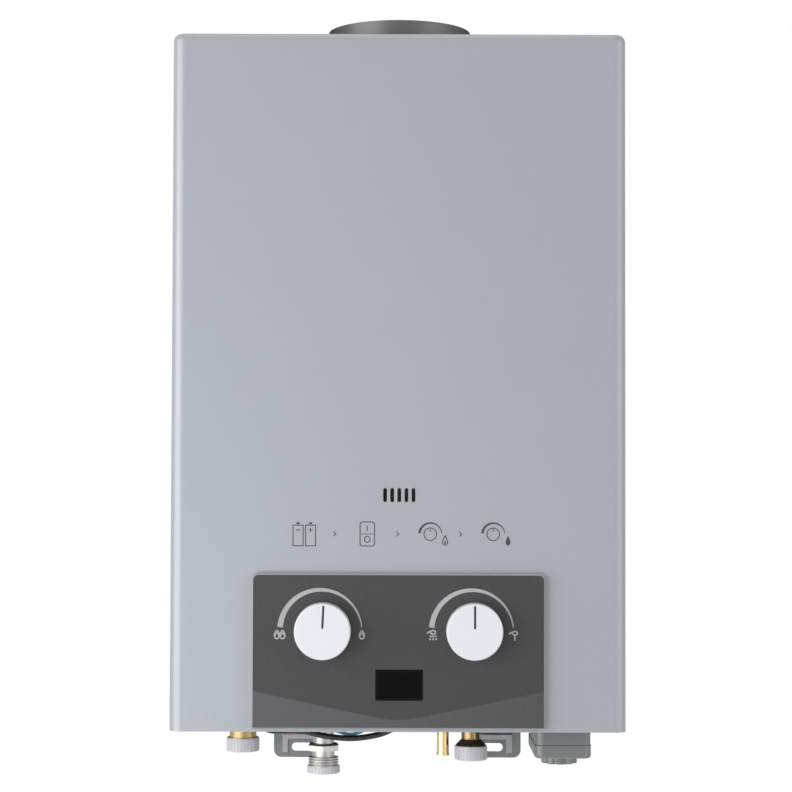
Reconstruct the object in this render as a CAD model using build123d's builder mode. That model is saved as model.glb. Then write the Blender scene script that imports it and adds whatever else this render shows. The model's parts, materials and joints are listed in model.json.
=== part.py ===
from build123d import *
import os
from math import cos, hypot, pi, radians, sin, tan

# Wall-hung tankless gas water heater, in millimetres.
# X points to the right of someone facing the heater, Y from the front to the wall, Z up.
# The origin is on the wall face of the back plate, on the centre line,
# level with the lower edge of the front cover.

os.makedirs("parts", exist_ok=True)

# Clearances shared by all pieces
overrun = 3.0            # how far a cut runs past the wall it goes through
seat_gap = 0.3           # between neighbours that are not a fit
running_fit = 0.05       # radial, round a turning shaft
inlay_fit = 0.02         # round an inlaid or pressed piece

# Casing
case_width = 305.0
case_height = 468.0
case_depth = 140.0       # wall to the front face of the cover
cover_sheet = 0.8
cover_bend = 8.0         # outer radius of the two upright front bends
cover_top_bend = 5.0
cover_lip = 11.0         # return lip along the lower front edge
cover_side_lip = 4.0
cover_wall_gap = 2.0     # the cover stops short of the wall
cover_fit = 0.5          # slip fit over the chassis

# Flame-viewing slots
view_slot_count = 5
view_slot_pitch = 4.75
view_slot_width = 2.5
view_slot_length = 9.4
view_slot_x = 0.7
view_slot_z = 157.5

# Back plate
plate_sheet = 1.0
plate_drop = 15.0        # lower edge below the cover
plate_flange = 14.0      # depth of the forward flanges
plate_flange_rise = 4.0  # the side flanges start this far above the cover's lower edge
tab_reach = 90.0         # outer edge of the wall tabs from the centre line
tab_width = 41.0
tab_drop = 35.5
tab_corner = 5.5
wall_slot_span = 139.0
wall_slot_length = 15.0
wall_slot_width = 6.0
wall_slot_drop = 28.0
bead_width = 5.0
bead_height = 1.2
bead_slope = 0.9         # chamfer along the bead
bead_inset = 5.8         # from the tab's outer edge to the bead
bead_drop = 18.0         # top of the bead below the cover's lower edge
hang_tab_width = 60.0
hang_tab_rise = 24.0
hang_tab_corner = 8.0
hang_hole_radius = 5.0
hang_hole_rise = 11.0

# Cover screws
screw_radius = 2.0
screw_length = 7.0
screw_head_radius = 3.6
screw_head_height = 1.8
screw_low_z = 40.0
screw_high_drop = 40.0   # upper screws below the top of the case
screw_slot_width = 0.9
screw_slot_depth = 0.8

# Bottom shelf
shelf_sheet = 1.2
shelf_rise = 6.0         # underside above the cover's lower edge
shelf_reach = 96.0       # front edge from the wall
shelf_flange = 14.0
air_slot_count = 5
air_slot_pitch = 8.0
air_slot_width = 4.0
air_slot_length = 30.0
air_slot_back = 26.0     # slot centres from the wall

# Core axis: flue, chamber and connections
core_depth = 70.0        # from the wall

# Flue collar and draught hood
flue_radius = 49.75
flue_sheet = 0.8
flue_rise = 13.0
flue_flange_radius = 57.0
flue_flange_sheet = 1.0
hood_sheet = 0.8
hood_height = 82.0       # chamber top to the cover's top
hood_skirt = 8.0         # overlap outside the chamber
hood_box_height = 26.0
hood_neck_rise = 5.0     # neck into the collar, above the cover
hood_neck_height = 28.0
hood_window_width = 120.0
hood_window_height = 16.0
hood_window_rise = 5.0   # above the chamber top

# Combustion chamber, fins and finned tube
core_side_room = 57.5    # case side to the chamber, the lane of the water pipes
core_length = 100.0
core_sheet = 1.0
fin_end_gap = 8.0        # least room between the last fin and the chamber wall
fin_pitch = 5.5
fin_sheet = 0.5
fin_height = 50.0
fin_top_gap = 12.0
fin_side_gap = 0.6
tube_radius = 6.35
tube_pitch = 18.0
tube_passes = 5
tube_stub = 14.0         # straight end outside the chamber wall
tube_turn_stub = 4.0     # straight stretch before a return bend
tube_fit = 0.15
bracket_inset = 35.0     # bracket centre lines from the chamber's sides
bracket_width = 40.0
bracket_height = 36.0
bracket_sheet = 1.2
bracket_rise = 120.0     # above the chamber's lower edge

# Burner
tray_side_gap = 4.0      # tray narrower than the chamber, each side
tray_length = 80.0
tray_height = 53.0
tray_sheet = 1.0
tray_clear = 1.0         # tray above the manifold's underside
tray_front = 102.0       # front of the tray from the wall
bar_pitch = 29.0
bar_width = 15.0
bar_foot_gap = 0.5       # bars above the tray's lower edge
bar_sheet = 0.8
bar_slot_count = 8
bar_slot_pitch = 8.5
bar_slot_width = 1.6
bar_slot_length = 11.0
bar_slot_depth = 6.0
mouth_radius = 5.5

# Gas manifold and injectors
manifold_end = 13.5      # cross bar beyond the last injector
manifold_width = 16.0
manifold_height = 16.0
riser_width = 22.0
riser_height = 12.0
injector_radius = 3.5
injector_length = 7.0
injector_bore = 0.8

# Valve bodies
valve_width = 52.0
valve_depth = 46.0
valve_corner = 5.0
valve_chamber_radius = 13.0
valve_chamber_roof = 9.0 # between the chamber and the spindle's bore
valve_floor = 6.0
gas_valve_height = 92.0
water_valve_height = 84.0
boss_radius = 11.0
boss_length = 8.0
spindle_radius = 4.0
spindle_seat = 18.0      # depth of the spindle in its valve
solenoid_radius = 13.0
solenoid_length = 21.0
solenoid_forward = 10.0  # in front of the core axis
solenoid_z = 58.0
terminal_width = 18.0
terminal_reach = 20.0
terminal_height = 12.0
microswitch_width = 20.0
microswitch_depth = 9.0
microswitch_height = 13.0
microswitch_z = 26.0
plunger_radius = 1.6
plunger_length = 2.5

# Diaphragm housing
diaphragm_z = 46.0
diaphragm_sheet = 1.2
diaphragm_flange_radius = 29.0
diaphragm_flange = 4.0
diaphragm_hub_radius = 19.0
diaphragm_screw_circle = 25.0
diaphragm_screw_count = 6
diaphragm_screw_radius = 1.6
diaphragm_head_radius = 2.8
diaphragm_head_height = 2.0

# Connections under the shelf
gas_inlet_x = -51.5
cold_inlet_x = 51.2
hot_outlet_inset = 44.8  # from the left side of the case
relief_x = 31.7
thread_radius = 10.4775  # half-inch parallel pipe thread
thread_pitch = 1.814
thread_depth = 0.6
waterway_radius = 5.5
gas_neck_radius = 7.3
gas_hex_drop = 16.4      # upper face of the sealing washer
gas_washer_sheet = 1.0
gas_washer_radius = 9.6
gas_hex_height = 3.8
gas_hex_flats = 20.4
gas_collar_radius = 7.7
gas_collar_height = 4.6
cold_neck_radius = 6.65
cold_flare_drop = 13.1
cold_flare_height = 4.0
hot_neck_radius = 9.3
hot_thread_drop = 12.0
hot_nut_flats = 27.0
hot_nut_height = 6.0
hot_socket_rise = 16.0
relief_radius = 4.15
relief_bore = 3.0
relief_drop = 24.4
relief_lip = 0.35
relief_lip_height = 1.6

# Screw caps on the three connections
cap_radius = 11.1
cap_rib_height = 0.3
cap_rib_width = 1.1
cap_rib_count = 30
cap_end = 1.4
cap_fit = 0.2            # radial clearance over the thread
cap_edge = 0.6
gas_cap_drop = 31.7      # upper rim of each cap below the cover's lower edge
gas_cap_height = 5.1
cold_cap_drop = 17.7
cold_cap_height = 9.7
hot_cap_drop = 12.5
hot_cap_height = 9.3

# Water pipes
pipe_radius = 6.35
pipe_bend = 13.0
pipe_side_gap = 24.5     # pipe axis from the outside of the case
cold_pipe_z = 78.0
hot_pipe_low_z = 64.0
hot_pipe_knee_z = 46.0

# Control panel on the cover
panel_width = 195.4
panel_height = 103.2
panel_x = 0.4
panel_low_z = 2.3        # lower edge above the cover's lower edge
panel_thickness = 5.4
panel_corner = 4.2
panel_foot_corner = 1.0
panel_bevel = 0.9
overlay_inset = 0.3
overlay_sheet = 0.6
panel_boss_radius = 2.5
panel_boss_length = 4.0
panel_boss_inset = 9.0
spindle_hole_radius = 6.0
cover_spindle_hole = 9.0

# Display
window_width = 31.5
window_height = 20.4
window_x = 0.95
window_z = 31.7
window_corner = 0.8
window_thickness = 2.0
window_proud = 0.1
window_fit = 0.1
module_margin = 1.8      # window edge to module edge
board_margin = 7.5       # window edge to board edge
board_sheet = 1.6

# Knobs
knob_span = 100.6
knob_x = 0.45            # middle of the pair
knob_z = 67.7
knob_radius = 18.6
knob_taper = 0.2         # wider at its foot by this much
knob_height = 12.0
knob_gap = 1.0           # over the overlay
knob_edge = 0.9
knob_bore_depth = 8.0
pointer_width = 1.45
pointer_outer = 17.3
pointer_inner = 2.0
pointer_depth = 0.6
pointer_proud = 0.05
gas_pointer_angle = 2.8  # clockwise, as it stands

# Battery box
cell_radius = 16.6
cell_length = 59.5
cell_nub_radius = 4.0
cell_nub_height = 1.5
cell_gap = 0.6
battery_wall = 1.8
battery_corner = 5.5
battery_side_gap = 21.0  # outside of the case to the box
battery_reach = 110.0    # front of the box from the wall
battery_drop = 12.4      # seam between box and lid
battery_rim = 3.0        # flange on the shelf
battery_rim_sheet = 2.0
contact_sheet = 0.6
contact_width = 20.0
seam_gap = 0.3
lid_height = 8.8
lid_floor = 2.0
lid_proud = 0.4
lid_edge = 2.0
leaf_sheet = 0.5
leaf_width = 12.0
leaf_foot = 5.0
leaf_length = 20.0
leaf_rise = 5.5
leaf_clear = 0.8         # leaf to the sweep of the latch bar
hinge_radius = 2.8
hinge_offset = 3.4
hinge_pin_radius = 1.25
hinge_box_length = 8.0
hinge_lid_length = 15.0
latch_radius = 12.6
latch_height = 7.0
latch_gap = 0.25
latch_scallop_count = 10
latch_scallop_radius = 2.4
latch_edge = 0.8
latch_shaft_radius = 3.0
latch_bar_length = 18.0
latch_bar_width = 6.0
latch_bar_height = 2.0

# On/off switch and power socket
switch_inset = 18.5      # switch and socket from the left side of the case
switch_back = 82.0       # from the wall
switch_width = 15.0
switch_length = 22.0
switch_height = 14.0
switch_bezel = 1.5
switch_bezel_margin = 2.0
rocker_width = 10.6
rocker_length = 16.6
rocker_clear = 0.7
rocker_pocket = 9.0
rocker_pivot = 3.0       # pivot above the bezel's face
rocker_end_reach = 4.6
rocker_middle_reach = 3.2
rocker_back = 2.0
rocker_tilt = 8.0
trunnion_radius = 1.2
trunnion_length = 1.4
socket_back = 48.0
socket_width = 13.0
socket_length = 8.0
socket_height = 12.0
socket_flange = 0.8
socket_flange_margin = 1.2
socket_mouth_width = 9.0
socket_mouth_length = 3.4
socket_depth = 7.0
tongue_width = 6.6
tongue_sheet = 0.7

# Ignition
electrode_span = 26.0
electrode_rise = 14.0    # above the chamber's lower edge
insulator_radius = 3.5
insulator_front = 9.0    # in front of the chamber wall
insulator_inside = 22.0
electrode_radius = 1.0
electrode_fit = 0.1
electrode_tail = 6.0
electrode_tip = 9.0
overheat_radius = 9.0
overheat_height = 6.0
overheat_inset = 43.0    # from the chamber's right side
overheat_drop = 8.8      # below the fins
controller_width = 60.0
controller_depth = 26.0
controller_height = 46.0
controller_low_z = 58.0
controller_back = 98.0   # rear face from the wall
controller_corner = 2.0
ear_width = 24.0
ear_sheet = 1.2
ear_overlap = 12.0       # length of the ear on the manifold

# Leads: wire radii, the upright plane each one hangs in, and its route (X, Z)
black_lead_radius = 2.0
black_lead_back = 108.0
black_lead_route = (
    (-93.0, 52.0), (-93.0, 22.0), (-97.0, 6.0), (-89.0, -3.6), (-66.0, -2.6), (-50.0, -7.0),
    (-29.0, -8.8), (-5.5, -4.4), (15.0, 12.0), (24.5, 34.0), (24.5, 58.0),
)
blue_lead_radius = 1.1
blue_lead_back = 104.4
blue_lead_route = (
    (-87.0, 52.0), (-87.0, 28.0), (-68.0, 9.0), (-47.0, -2.0), (-31.0, -7.2),
    (-17.0, -0.5), (-10.5, 19.0), (-9.0, 39.0), (-9.0, 58.0),
)
red_lead_radius = 1.0
red_lead_back = 101.2
red_lead_route = (
    (-95.0, 52.0), (-95.0, 27.0), (-86.0, 4.0), (-73.0, -8.4), (-60.0, 1.5),
    (-50.0, 20.0), (-37.0, 32.0), (-25.0, 43.0), (-25.0, 58.0),
)
route_run_share = 0.45   # share of the shorter run that a bend may take up

# Planes and places worked out from the sizes above
half_width = case_width / 2
front_y = -case_depth
core_y = -core_depth
front_plane = Plane(origin=(0, front_y, 0), x_dir=(1, 0, 0), z_dir=(0, -1, 0))
wall_plane = Plane(origin=(0, 0, 0), x_dir=(1, 0, 0), z_dir=(0, -1, 0))
chassis_half = half_width - cover_sheet - cover_fit
chassis_top = case_height - cover_sheet - cover_fit
chassis_corner = cover_top_bend - cover_sheet - cover_fit
shelf_top = shelf_rise + shelf_sheet
shelf_half = chassis_half - plate_sheet - seat_gap
gas_valve_top = shelf_top + gas_valve_height
manifold_low = gas_valve_top + riser_height
manifold_mid = manifold_low + manifold_height / 2
manifold_back_y = -tray_front
manifold_front_y = manifold_back_y - manifold_width
tray_low = manifold_low + tray_clear
core_low = tray_low + tray_height
core_top = case_height - hood_height
core_width = case_width - 2 * core_side_room
core_half = core_width / 2
fin_count = int((core_width - 2 * core_sheet - 2 * fin_end_gap) / fin_pitch) + 1
bracket_span = core_width - 2 * bracket_inset
tray_width = core_width - 2 * tray_side_gap
bar_count = int((tray_width - 2 * tray_sheet - bar_width) / bar_pitch) + 1
manifold_length = (bar_count - 1) * bar_pitch + 2 * manifold_end
core_front_y = core_y - core_length / 2
core_back_y = core_y + core_length / 2
fin_top = core_top - fin_top_gap
tube_z = fin_top - fin_height / 2
tube_first_y = core_y - tube_pitch * (tube_passes - 1) / 2
tube_last_y = core_y + tube_pitch * (tube_passes - 1) / 2
valve_front_y = core_y - valve_depth / 2
gas_knob_x = knob_x - knob_span / 2
water_knob_x = knob_x + knob_span / 2
panel_front_y = front_y - panel_thickness - overlay_sheet
knob_back_y = panel_front_y - knob_gap
knob_front_y = knob_back_y - knob_height
battery_width = 2 * (cell_radius + cell_gap + battery_wall)
battery_length = 4 * cell_radius + 3 * cell_gap + 2 * battery_wall
battery_x = half_width - battery_side_gap - battery_width / 2
battery_front_y = -battery_reach
battery_y = battery_front_y + battery_length / 2
battery_back_y = battery_front_y + battery_length
seam_z = -battery_drop
cell_low_z = seam_z + cell_gap
cell_high_z = cell_low_z + cell_length
contact_low_z = cell_high_z + cell_nub_height + seat_gap
battery_ceiling_z = contact_low_z + contact_sheet
battery_top_z = battery_ceiling_z + battery_wall
lid_top_z = seam_z - seam_gap
lid_low_z = lid_top_z - lid_height
lid_floor_z = lid_low_z + lid_floor
hinge_y = battery_back_y + hinge_offset
hinge_z = seam_z - seam_gap / 2
pipe_x = half_width - pipe_side_gap
hot_outlet_x = hot_outlet_inset - half_width
switch_x = switch_inset - half_width
socket_x = switch_x
leaf_offset = hypot(latch_bar_length, latch_bar_width) / 2 + leaf_clear + leaf_length / 2


def block(x_span, y_span, z_span, mode=Mode.ADD):
    """Rectangular block between three pairs of limits."""
    low, high = zip(x_span, y_span, z_span)
    middle = tuple((a + b) / 2 for a, b in zip(low, high))
    with Locations(middle):
        Box(*[b - a for a, b in zip(low, high)], mode=mode)


def around(middle, width):
    """Limits of a span of a given width around its middle."""
    return (middle - width / 2, middle + width / 2)


def upright(x, y, z_span, radius, mode=Mode.ADD):
    """Round rod along Z."""
    with Locations((x, y, sum(z_span) / 2)):
        Cylinder(radius, z_span[1] - z_span[0], mode=mode)


def fore_and_aft(x, z, y_span, radius, mode=Mode.ADD):
    """Round rod along Y."""
    with Locations((x, sum(y_span) / 2, z)):
        Cylinder(radius, y_span[1] - y_span[0], rotation=(90, 0, 0), mode=mode)


def crosswise(y, z, x_span, radius, mode=Mode.ADD):
    """Round rod along X."""
    with Locations((sum(x_span) / 2, y, z)):
        Cylinder(radius, x_span[1] - x_span[0], rotation=(0, 90, 0), mode=mode)


def hexagon(x, y, z_span, flats, mode=Mode.ADD):
    """Upright hexagonal prism with a corner to the front."""
    with BuildSketch(Plane(origin=(x, y, z_span[0]))) as outline:
        RegularPolygon(flats / 2, side_count=6, major_radius=False, rotation=90)
    extrude(outline.sketch, amount=z_span[1] - z_span[0], mode=mode)


def thread_grooves(x, y, z_span):
    """Round grooves at the thread's pitch, cut into a threaded end."""
    count = int((z_span[1] - z_span[0]) / thread_pitch)
    for turn in range(count):
        with Locations((x, y, z_span[0] + thread_pitch * (turn + 1) - thread_pitch / 2)):
            Torus(thread_radius, thread_depth, mode=Mode.SUBTRACT)


def route_radii(points):
    """Largest bend at each inner point that its two runs leave room for."""
    radii = []
    for before, here, after in zip(points, points[1:], points[2:]):
        first, second = here - before, after - here
        half_turn = radians(first.get_angle(second)) / 2
        shorter = min(first.length, second.length)
        radii.append(route_run_share * shorter / tan(half_turn))
    return radii


def lead(name, route, back, radius):
    """Wire along a route in an upright plane; prints its bends and its fill."""
    points = [Vector(x, -back, z) for x, z in route]
    radii = route_radii(points)
    with BuildPart() as wire:
        with BuildLine() as path:
            FilletPolyline(*points, radius=radii)
        with BuildSketch(Plane(origin=points[0], z_dir=points[1] - points[0])):
            Circle(radius)
        sweep(path=path.line)
    length = path.wire().length
    print(name, "bends", [round(r, 1) for r in radii], "length", round(length, 1),
          "fill", round(wire.part.volume / (pi * radius ** 2 * length), 4))
    return wire


def pipe(points):
    """Copper water pipe with equal bends at the corners of its route."""
    with BuildPart() as copper:
        with BuildLine() as path:
            FilletPolyline(*points, radius=pipe_bend)
        start = Vector(*points[0])
        with BuildSketch(Plane(origin=start, z_dir=Vector(*points[1]) - start)):
            Circle(pipe_radius)
            Circle(pipe_radius - core_sheet, mode=Mode.SUBTRACT)
        sweep(path=path.line)
    return copper


# Back plate with wall tabs, hanging tab and forward flanges
with BuildPart() as back_plate:
    with BuildSketch(wall_plane):
        with Locations((0, (chassis_top - plate_drop) / 2)):
            Rectangle(2 * chassis_half, chassis_top + plate_drop)
        with Locations((0, chassis_top)):
            RectangleRounded(hang_tab_width, 2 * hang_tab_rise, hang_tab_corner)
        for side in (-1, 1):
            with Locations((side * (tab_reach - tab_width / 2), -plate_drop)):
                RectangleRounded(tab_width, 2 * (tab_drop - plate_drop), tab_corner)
        with Locations((0, chassis_top + hang_hole_rise)):
            Circle(hang_hole_radius, mode=Mode.SUBTRACT)
        with Locations((-wall_slot_span / 2, -wall_slot_drop), (wall_slot_span / 2, -wall_slot_drop)):
            SlotOverall(wall_slot_length, wall_slot_width, mode=Mode.SUBTRACT)
    extrude(amount=plate_sheet)
    upper_corners = back_plate.edges().filter_by(Axis.Y).sort_by(Axis.X)
    fillet([e for e in (upper_corners[0], upper_corners[1], upper_corners[-1], upper_corners[-2])
            if e.center().Z > 0], radius=chassis_corner)
    for side in (-1, 1):
        edge = side * chassis_half
        block(sorted((edge, edge - side * plate_sheet)), (-plate_flange, 0),
              (plate_flange_rise, chassis_top - chassis_corner))
        for z in (screw_low_z, case_height - screw_high_drop):
            crosswise(-plate_flange / 2, z, around(edge, overrun * 2),
                      screw_radius + seat_gap, Mode.SUBTRACT)
    block(around(0, 2 * (chassis_half - chassis_corner)), (-plate_flange, 0),
          (chassis_top - plate_sheet, chassis_top))
    # pressed bead on each tab: one upright leg and one level leg
    for side in (-1, 1):
        outer = side * (tab_reach - bead_inset)
        inner = side * (tab_reach - tab_width + bead_inset)
        bead_y = (-plate_sheet - bead_height, -plate_sheet)
        block(sorted((outer, outer - side * bead_width)), bead_y, (-tab_drop + bead_inset / 2, -bead_drop))
        block(sorted((outer, inner)), bead_y, (-bead_drop - bead_width, -bead_drop))
    bead_faces = back_plate.faces().filter_by(Axis.Y).group_by(Axis.Y)
    bead_top = [f for group in bead_faces for f in group
                if abs(f.center().Y + plate_sheet + bead_height) < seat_gap]
    chamfer([e for f in bead_top for e in f.edges()], length=bead_slope)

# Bottom shelf: carries the valves, the connections, the switch and the battery box
with BuildPart() as base_shelf:
    battery_arm_x = battery_x - battery_width / 2 - battery_rim - battery_wall
    battery_arm_y = battery_front_y - battery_rim - battery_wall
    block((-shelf_half, shelf_half), (-shelf_reach, -plate_sheet), (shelf_rise, shelf_top))
    block((battery_arm_x, shelf_half), (battery_arm_y, -plate_sheet), (shelf_rise, shelf_top))
    block((-shelf_half, shelf_half), (-plate_sheet - shelf_sheet, -plate_sheet),
          (shelf_rise, shelf_top + shelf_flange))
    cut_z = (shelf_rise - overrun, shelf_top + overrun)
    for x, radius in ((gas_inlet_x, gas_neck_radius), (cold_inlet_x, cold_neck_radius),
                      (hot_outlet_x, hot_neck_radius), (relief_x, relief_radius)):
        upright(x, core_y, cut_z, radius + seat_gap, Mode.SUBTRACT)
    block(around(battery_x, battery_width + 2 * seat_gap), around(battery_y, battery_length + 2 * seat_gap),
          cut_z, Mode.SUBTRACT)
    block(around(switch_x, switch_width + 2 * seat_gap), around(-switch_back, switch_length + 2 * seat_gap),
          cut_z, Mode.SUBTRACT)
    block(around(socket_x, socket_width + 2 * seat_gap), around(-socket_back, socket_length + 2 * seat_gap),
          cut_z, Mode.SUBTRACT)
    with BuildSketch(Plane(origin=(0, -air_slot_back, cut_z[0]))):
        with GridLocations(air_slot_pitch, 0, air_slot_count, 1):
            SlotOverall(air_slot_length, air_slot_width, rotation=90)
    extrude(amount=cut_z[1] - cut_z[0], mode=Mode.SUBTRACT)

# Front cover: folded shell, open to the wall, with a lipped opening below
with BuildPart() as front_cover:
    block((-half_width, half_width), (front_y, -cover_wall_gap), (0, case_height))
    fillet(front_cover.edges().filter_by(Axis.Z).group_by(Axis.Y)[0], radius=cover_bend)
    top_edges = front_cover.faces().sort_by(Axis.Z)[-1].edges().sort_by(Axis.Y)
    fillet(top_edges[:-1], radius=cover_top_bend)
    offset(amount=-cover_sheet, openings=front_cover.faces().sort_by(Axis.Y)[-1])
    block(around(0, case_width - 2 * cover_side_lip), (front_y + cover_lip, 0),
          (-overrun, cover_sheet + seat_gap), Mode.SUBTRACT)
    upright(0, core_y, (case_height - overrun, case_height + overrun), flue_radius, Mode.SUBTRACT)
    with BuildSketch(front_plane):
        with Locations((view_slot_x, view_slot_z)):
            with GridLocations(view_slot_pitch, 0, view_slot_count, 1):
                SlotOverall(view_slot_length, view_slot_width, rotation=90)
        with Locations((window_x, window_z)):
            Rectangle(window_width + 2 * (board_margin + seat_gap),
                      window_height + 2 * (board_margin + seat_gap))
        with Locations((gas_knob_x, knob_z), (water_knob_x, knob_z)):
            Circle(cover_spindle_hole)
        with Locations((panel_x, panel_low_z + panel_height / 2)):
            with GridLocations(panel_width - 2 * panel_boss_inset, panel_height - 2 * panel_boss_inset, 2, 2):
                Circle(panel_boss_radius + seat_gap)
    extrude(amount=-cover_sheet - overrun, mode=Mode.SUBTRACT)
    for side in (-1, 1):
        for z in (screw_low_z, case_height - screw_high_drop):
            crosswise(-plate_flange / 2, z, around(side * half_width, overrun),
                      screw_radius + seat_gap, Mode.SUBTRACT)

# Four cover screws through the side walls
with BuildPart() as cover_screws:
    for side in (-1, 1):
        for z in (screw_low_z, case_height - screw_high_drop):
            y = -plate_flange / 2
            outside = side * half_width
            crosswise(y, z, sorted((outside, outside - side * screw_length)), screw_radius)
            crosswise(y, z, sorted((outside, outside + side * screw_head_height)), screw_head_radius)
            head_end = outside + side * screw_head_height
            block(sorted((head_end, head_end - side * screw_slot_depth)),
                  around(y, 2 * screw_head_radius), around(z, screw_slot_width), Mode.SUBTRACT)

# Flue collar with its flange on the cover's top
with BuildPart() as flue_collar:
    flange_top = case_height + flue_flange_sheet
    upright(0, core_y, (case_height, flange_top), flue_flange_radius)
    upright(0, core_y, (flange_top, case_height + flue_rise), flue_radius)
    upright(0, core_y, (case_height - overrun, case_height + flue_rise + overrun),
            flue_radius - flue_sheet, Mode.SUBTRACT)

# Draught hood: skirt box, tapered roof and round neck, with draught windows front and back
hood_neck_radius = flue_radius - flue_sheet - seat_gap
hood_box_low = core_top - hood_skirt
hood_box_top = hood_box_low + hood_box_height
hood_neck_top = case_height + hood_neck_rise
hood_roof_top = hood_neck_top - hood_neck_height
hood_width = core_width + 2 * (seat_gap + hood_sheet)
hood_length = core_length + 2 * (seat_gap + hood_sheet)
hood_roof_width = 2 * (hood_neck_radius + hood_sheet)
with BuildPart() as draft_hood:
    for shrink, mode in ((0, Mode.ADD), (hood_sheet, Mode.SUBTRACT)):
        block(around(0, hood_width - 2 * shrink), around(core_y, hood_length - 2 * shrink),
              (hood_box_low, hood_box_top), mode)
        with BuildSketch(Plane(origin=(0, core_y, hood_box_top))):
            Rectangle(hood_width - 2 * shrink, hood_length - 2 * shrink)
        with BuildSketch(Plane(origin=(0, core_y, hood_roof_top - shrink))):
            Rectangle(hood_roof_width - 2 * shrink, hood_length - 2 * shrink)
        loft(ruled=True, mode=mode)
    upright(0, core_y, (hood_roof_top, hood_neck_top), hood_neck_radius)
    upright(0, core_y, (hood_roof_top - overrun, hood_neck_top + overrun),
            hood_neck_radius - hood_sheet, Mode.SUBTRACT)
    window_low = core_top + hood_window_rise
    block(around(0, hood_window_width), around(core_y, hood_length + 2 * overrun),
          (window_low, window_low + hood_window_height), Mode.SUBTRACT)

# Combustion chamber shell with holes for the tube, the electrodes
with BuildPart() as exchanger_shell:
    block(around(0, core_width), around(core_y, core_length), (core_low, core_top))
    block(around(0, core_width - 2 * core_sheet), around(core_y, core_length - 2 * core_sheet),
          (core_low - overrun, core_top + overrun), Mode.SUBTRACT)
    for row in range(tube_passes):
        crosswise(tube_first_y + row * tube_pitch, tube_z, around(0, core_width + 2 * overrun),
                  tube_radius + tube_fit, Mode.SUBTRACT)
    for side in (-1, 1):
        fore_and_aft(side * electrode_span / 2, core_low + electrode_rise,
                     around(core_front_y, 2 * overrun), insulator_radius + seat_gap, Mode.SUBTRACT)

# Copper fins
with BuildPart() as exchanger_fins:
    fin_length = core_length - 2 * core_sheet - 2 * fin_side_gap
    for index in range(fin_count):
        x = (index - (fin_count - 1) / 2) * fin_pitch
        block(around(x, fin_sheet), around(core_y, fin_length), (fin_top - fin_height, fin_top))
    for row in range(tube_passes):
        crosswise(tube_first_y + row * tube_pitch, tube_z, around(0, core_width),
                  tube_radius + tube_fit, Mode.SUBTRACT)

# Finned tube: straight passes joined by return bends outside the chamber
with BuildPart() as exchanger_tube:
    turn_x = core_half + tube_turn_stub
    stub_x = core_half + tube_stub
    with BuildLine(Plane.XY.offset(tube_z)) as tube_path:
        start = Vector(stub_x, tube_first_y)
        for row in range(tube_passes):
            side = 1 if row % 2 else -1
            y = tube_first_y + row * tube_pitch
            last = row == tube_passes - 1
            finish = Vector(side * (stub_x if last else turn_x), y)
            Line(start, finish)
            if not last:
                start = Vector(finish.X, y + tube_pitch)
                crown = Vector(finish.X + side * tube_pitch / 2, y + tube_pitch / 2)
                ThreePointArc(finish, crown, start)
    with BuildSketch(Plane(origin=(stub_x, tube_first_y, tube_z), z_dir=(-1, 0, 0))):
        Circle(tube_radius)
        Circle(tube_radius - core_sheet, mode=Mode.SUBTRACT)
    sweep(path=tube_path.line)

# Two channel brackets between the chamber and the back plate
with BuildPart() as exchanger_brackets:
    for side in (-1, 1):
        x = side * bracket_span / 2
        rear = (core_back_y, -plate_sheet)
        low = core_low + bracket_rise
        block(around(x, bracket_width), rear, (low, low + bracket_height))
        block(around(x, bracket_width - 2 * bracket_sheet),
              (rear[0] + bracket_sheet, rear[1] - bracket_sheet),
              (low - overrun, low + bracket_height + overrun), Mode.SUBTRACT)

# Burner tray with a flange that carries the chamber
tray_back_y = -tray_front + tray_length
tray_y = (-tray_front, tray_back_y)
bar_xs = [(index - (bar_count - 1) / 2) * bar_pitch for index in range(bar_count)]
with BuildPart() as burner_tray:
    block(around(0, tray_width), tray_y, (tray_low, core_low))
    block(around(0, core_width), around(core_y, core_length), (core_low - tray_sheet, core_low))
    block(around(0, tray_width - 2 * tray_sheet), (tray_y[0] + tray_sheet, tray_y[1] - tray_sheet),
          (tray_low - overrun, core_low + overrun), Mode.SUBTRACT)
    for x in bar_xs:
        fore_and_aft(x, manifold_mid, around(-tray_front, 2 * overrun), mouth_radius, Mode.SUBTRACT)

# Burner bars: hollow blades with a mouth at the front and flame slots on top
with BuildPart() as burner_bars:
    bar_y = (-tray_front + tray_sheet + seat_gap, tray_back_y - tray_sheet - seat_gap)
    bar_low = tray_low + bar_foot_gap
    bar_top = core_low - tray_sheet
    for x in bar_xs:
        block(around(x, bar_width), bar_y, (bar_low, bar_top))
    fillet(burner_bars.edges().filter_by(Axis.Y).group_by(Axis.Z)[-1], radius=bar_width / 4)
    for x in bar_xs:
        block(around(x, bar_width - 2 * bar_sheet), (bar_y[0] + bar_sheet, bar_y[1] - bar_sheet),
              (bar_low + bar_sheet, bar_top - bar_width / 4), Mode.SUBTRACT)
        fore_and_aft(x, manifold_mid, around(bar_y[0], 2 * overrun), mouth_radius, Mode.SUBTRACT)
        for slot in range(bar_slot_count):
            y = sum(bar_y) / 2 + (slot - (bar_slot_count - 1) / 2) * bar_slot_pitch
            block(around(x, bar_slot_length), around(y, bar_slot_width),
                  (bar_top - bar_slot_depth, bar_top + overrun), Mode.SUBTRACT)

# Gas manifold: riser duct on the valve and a cross bar in front of the tray
with BuildPart() as gas_manifold:
    block(around(gas_inlet_x, riser_width), (manifold_front_y, core_y), (gas_valve_top, manifold_low))
    block(around(0, manifold_length), (manifold_front_y, manifold_back_y),
          (manifold_low, manifold_low + manifold_height))
    fillet(gas_manifold.edges().filter_by(Axis.X).group_by(Axis.Y)[0], radius=core_sheet * 2)

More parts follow.
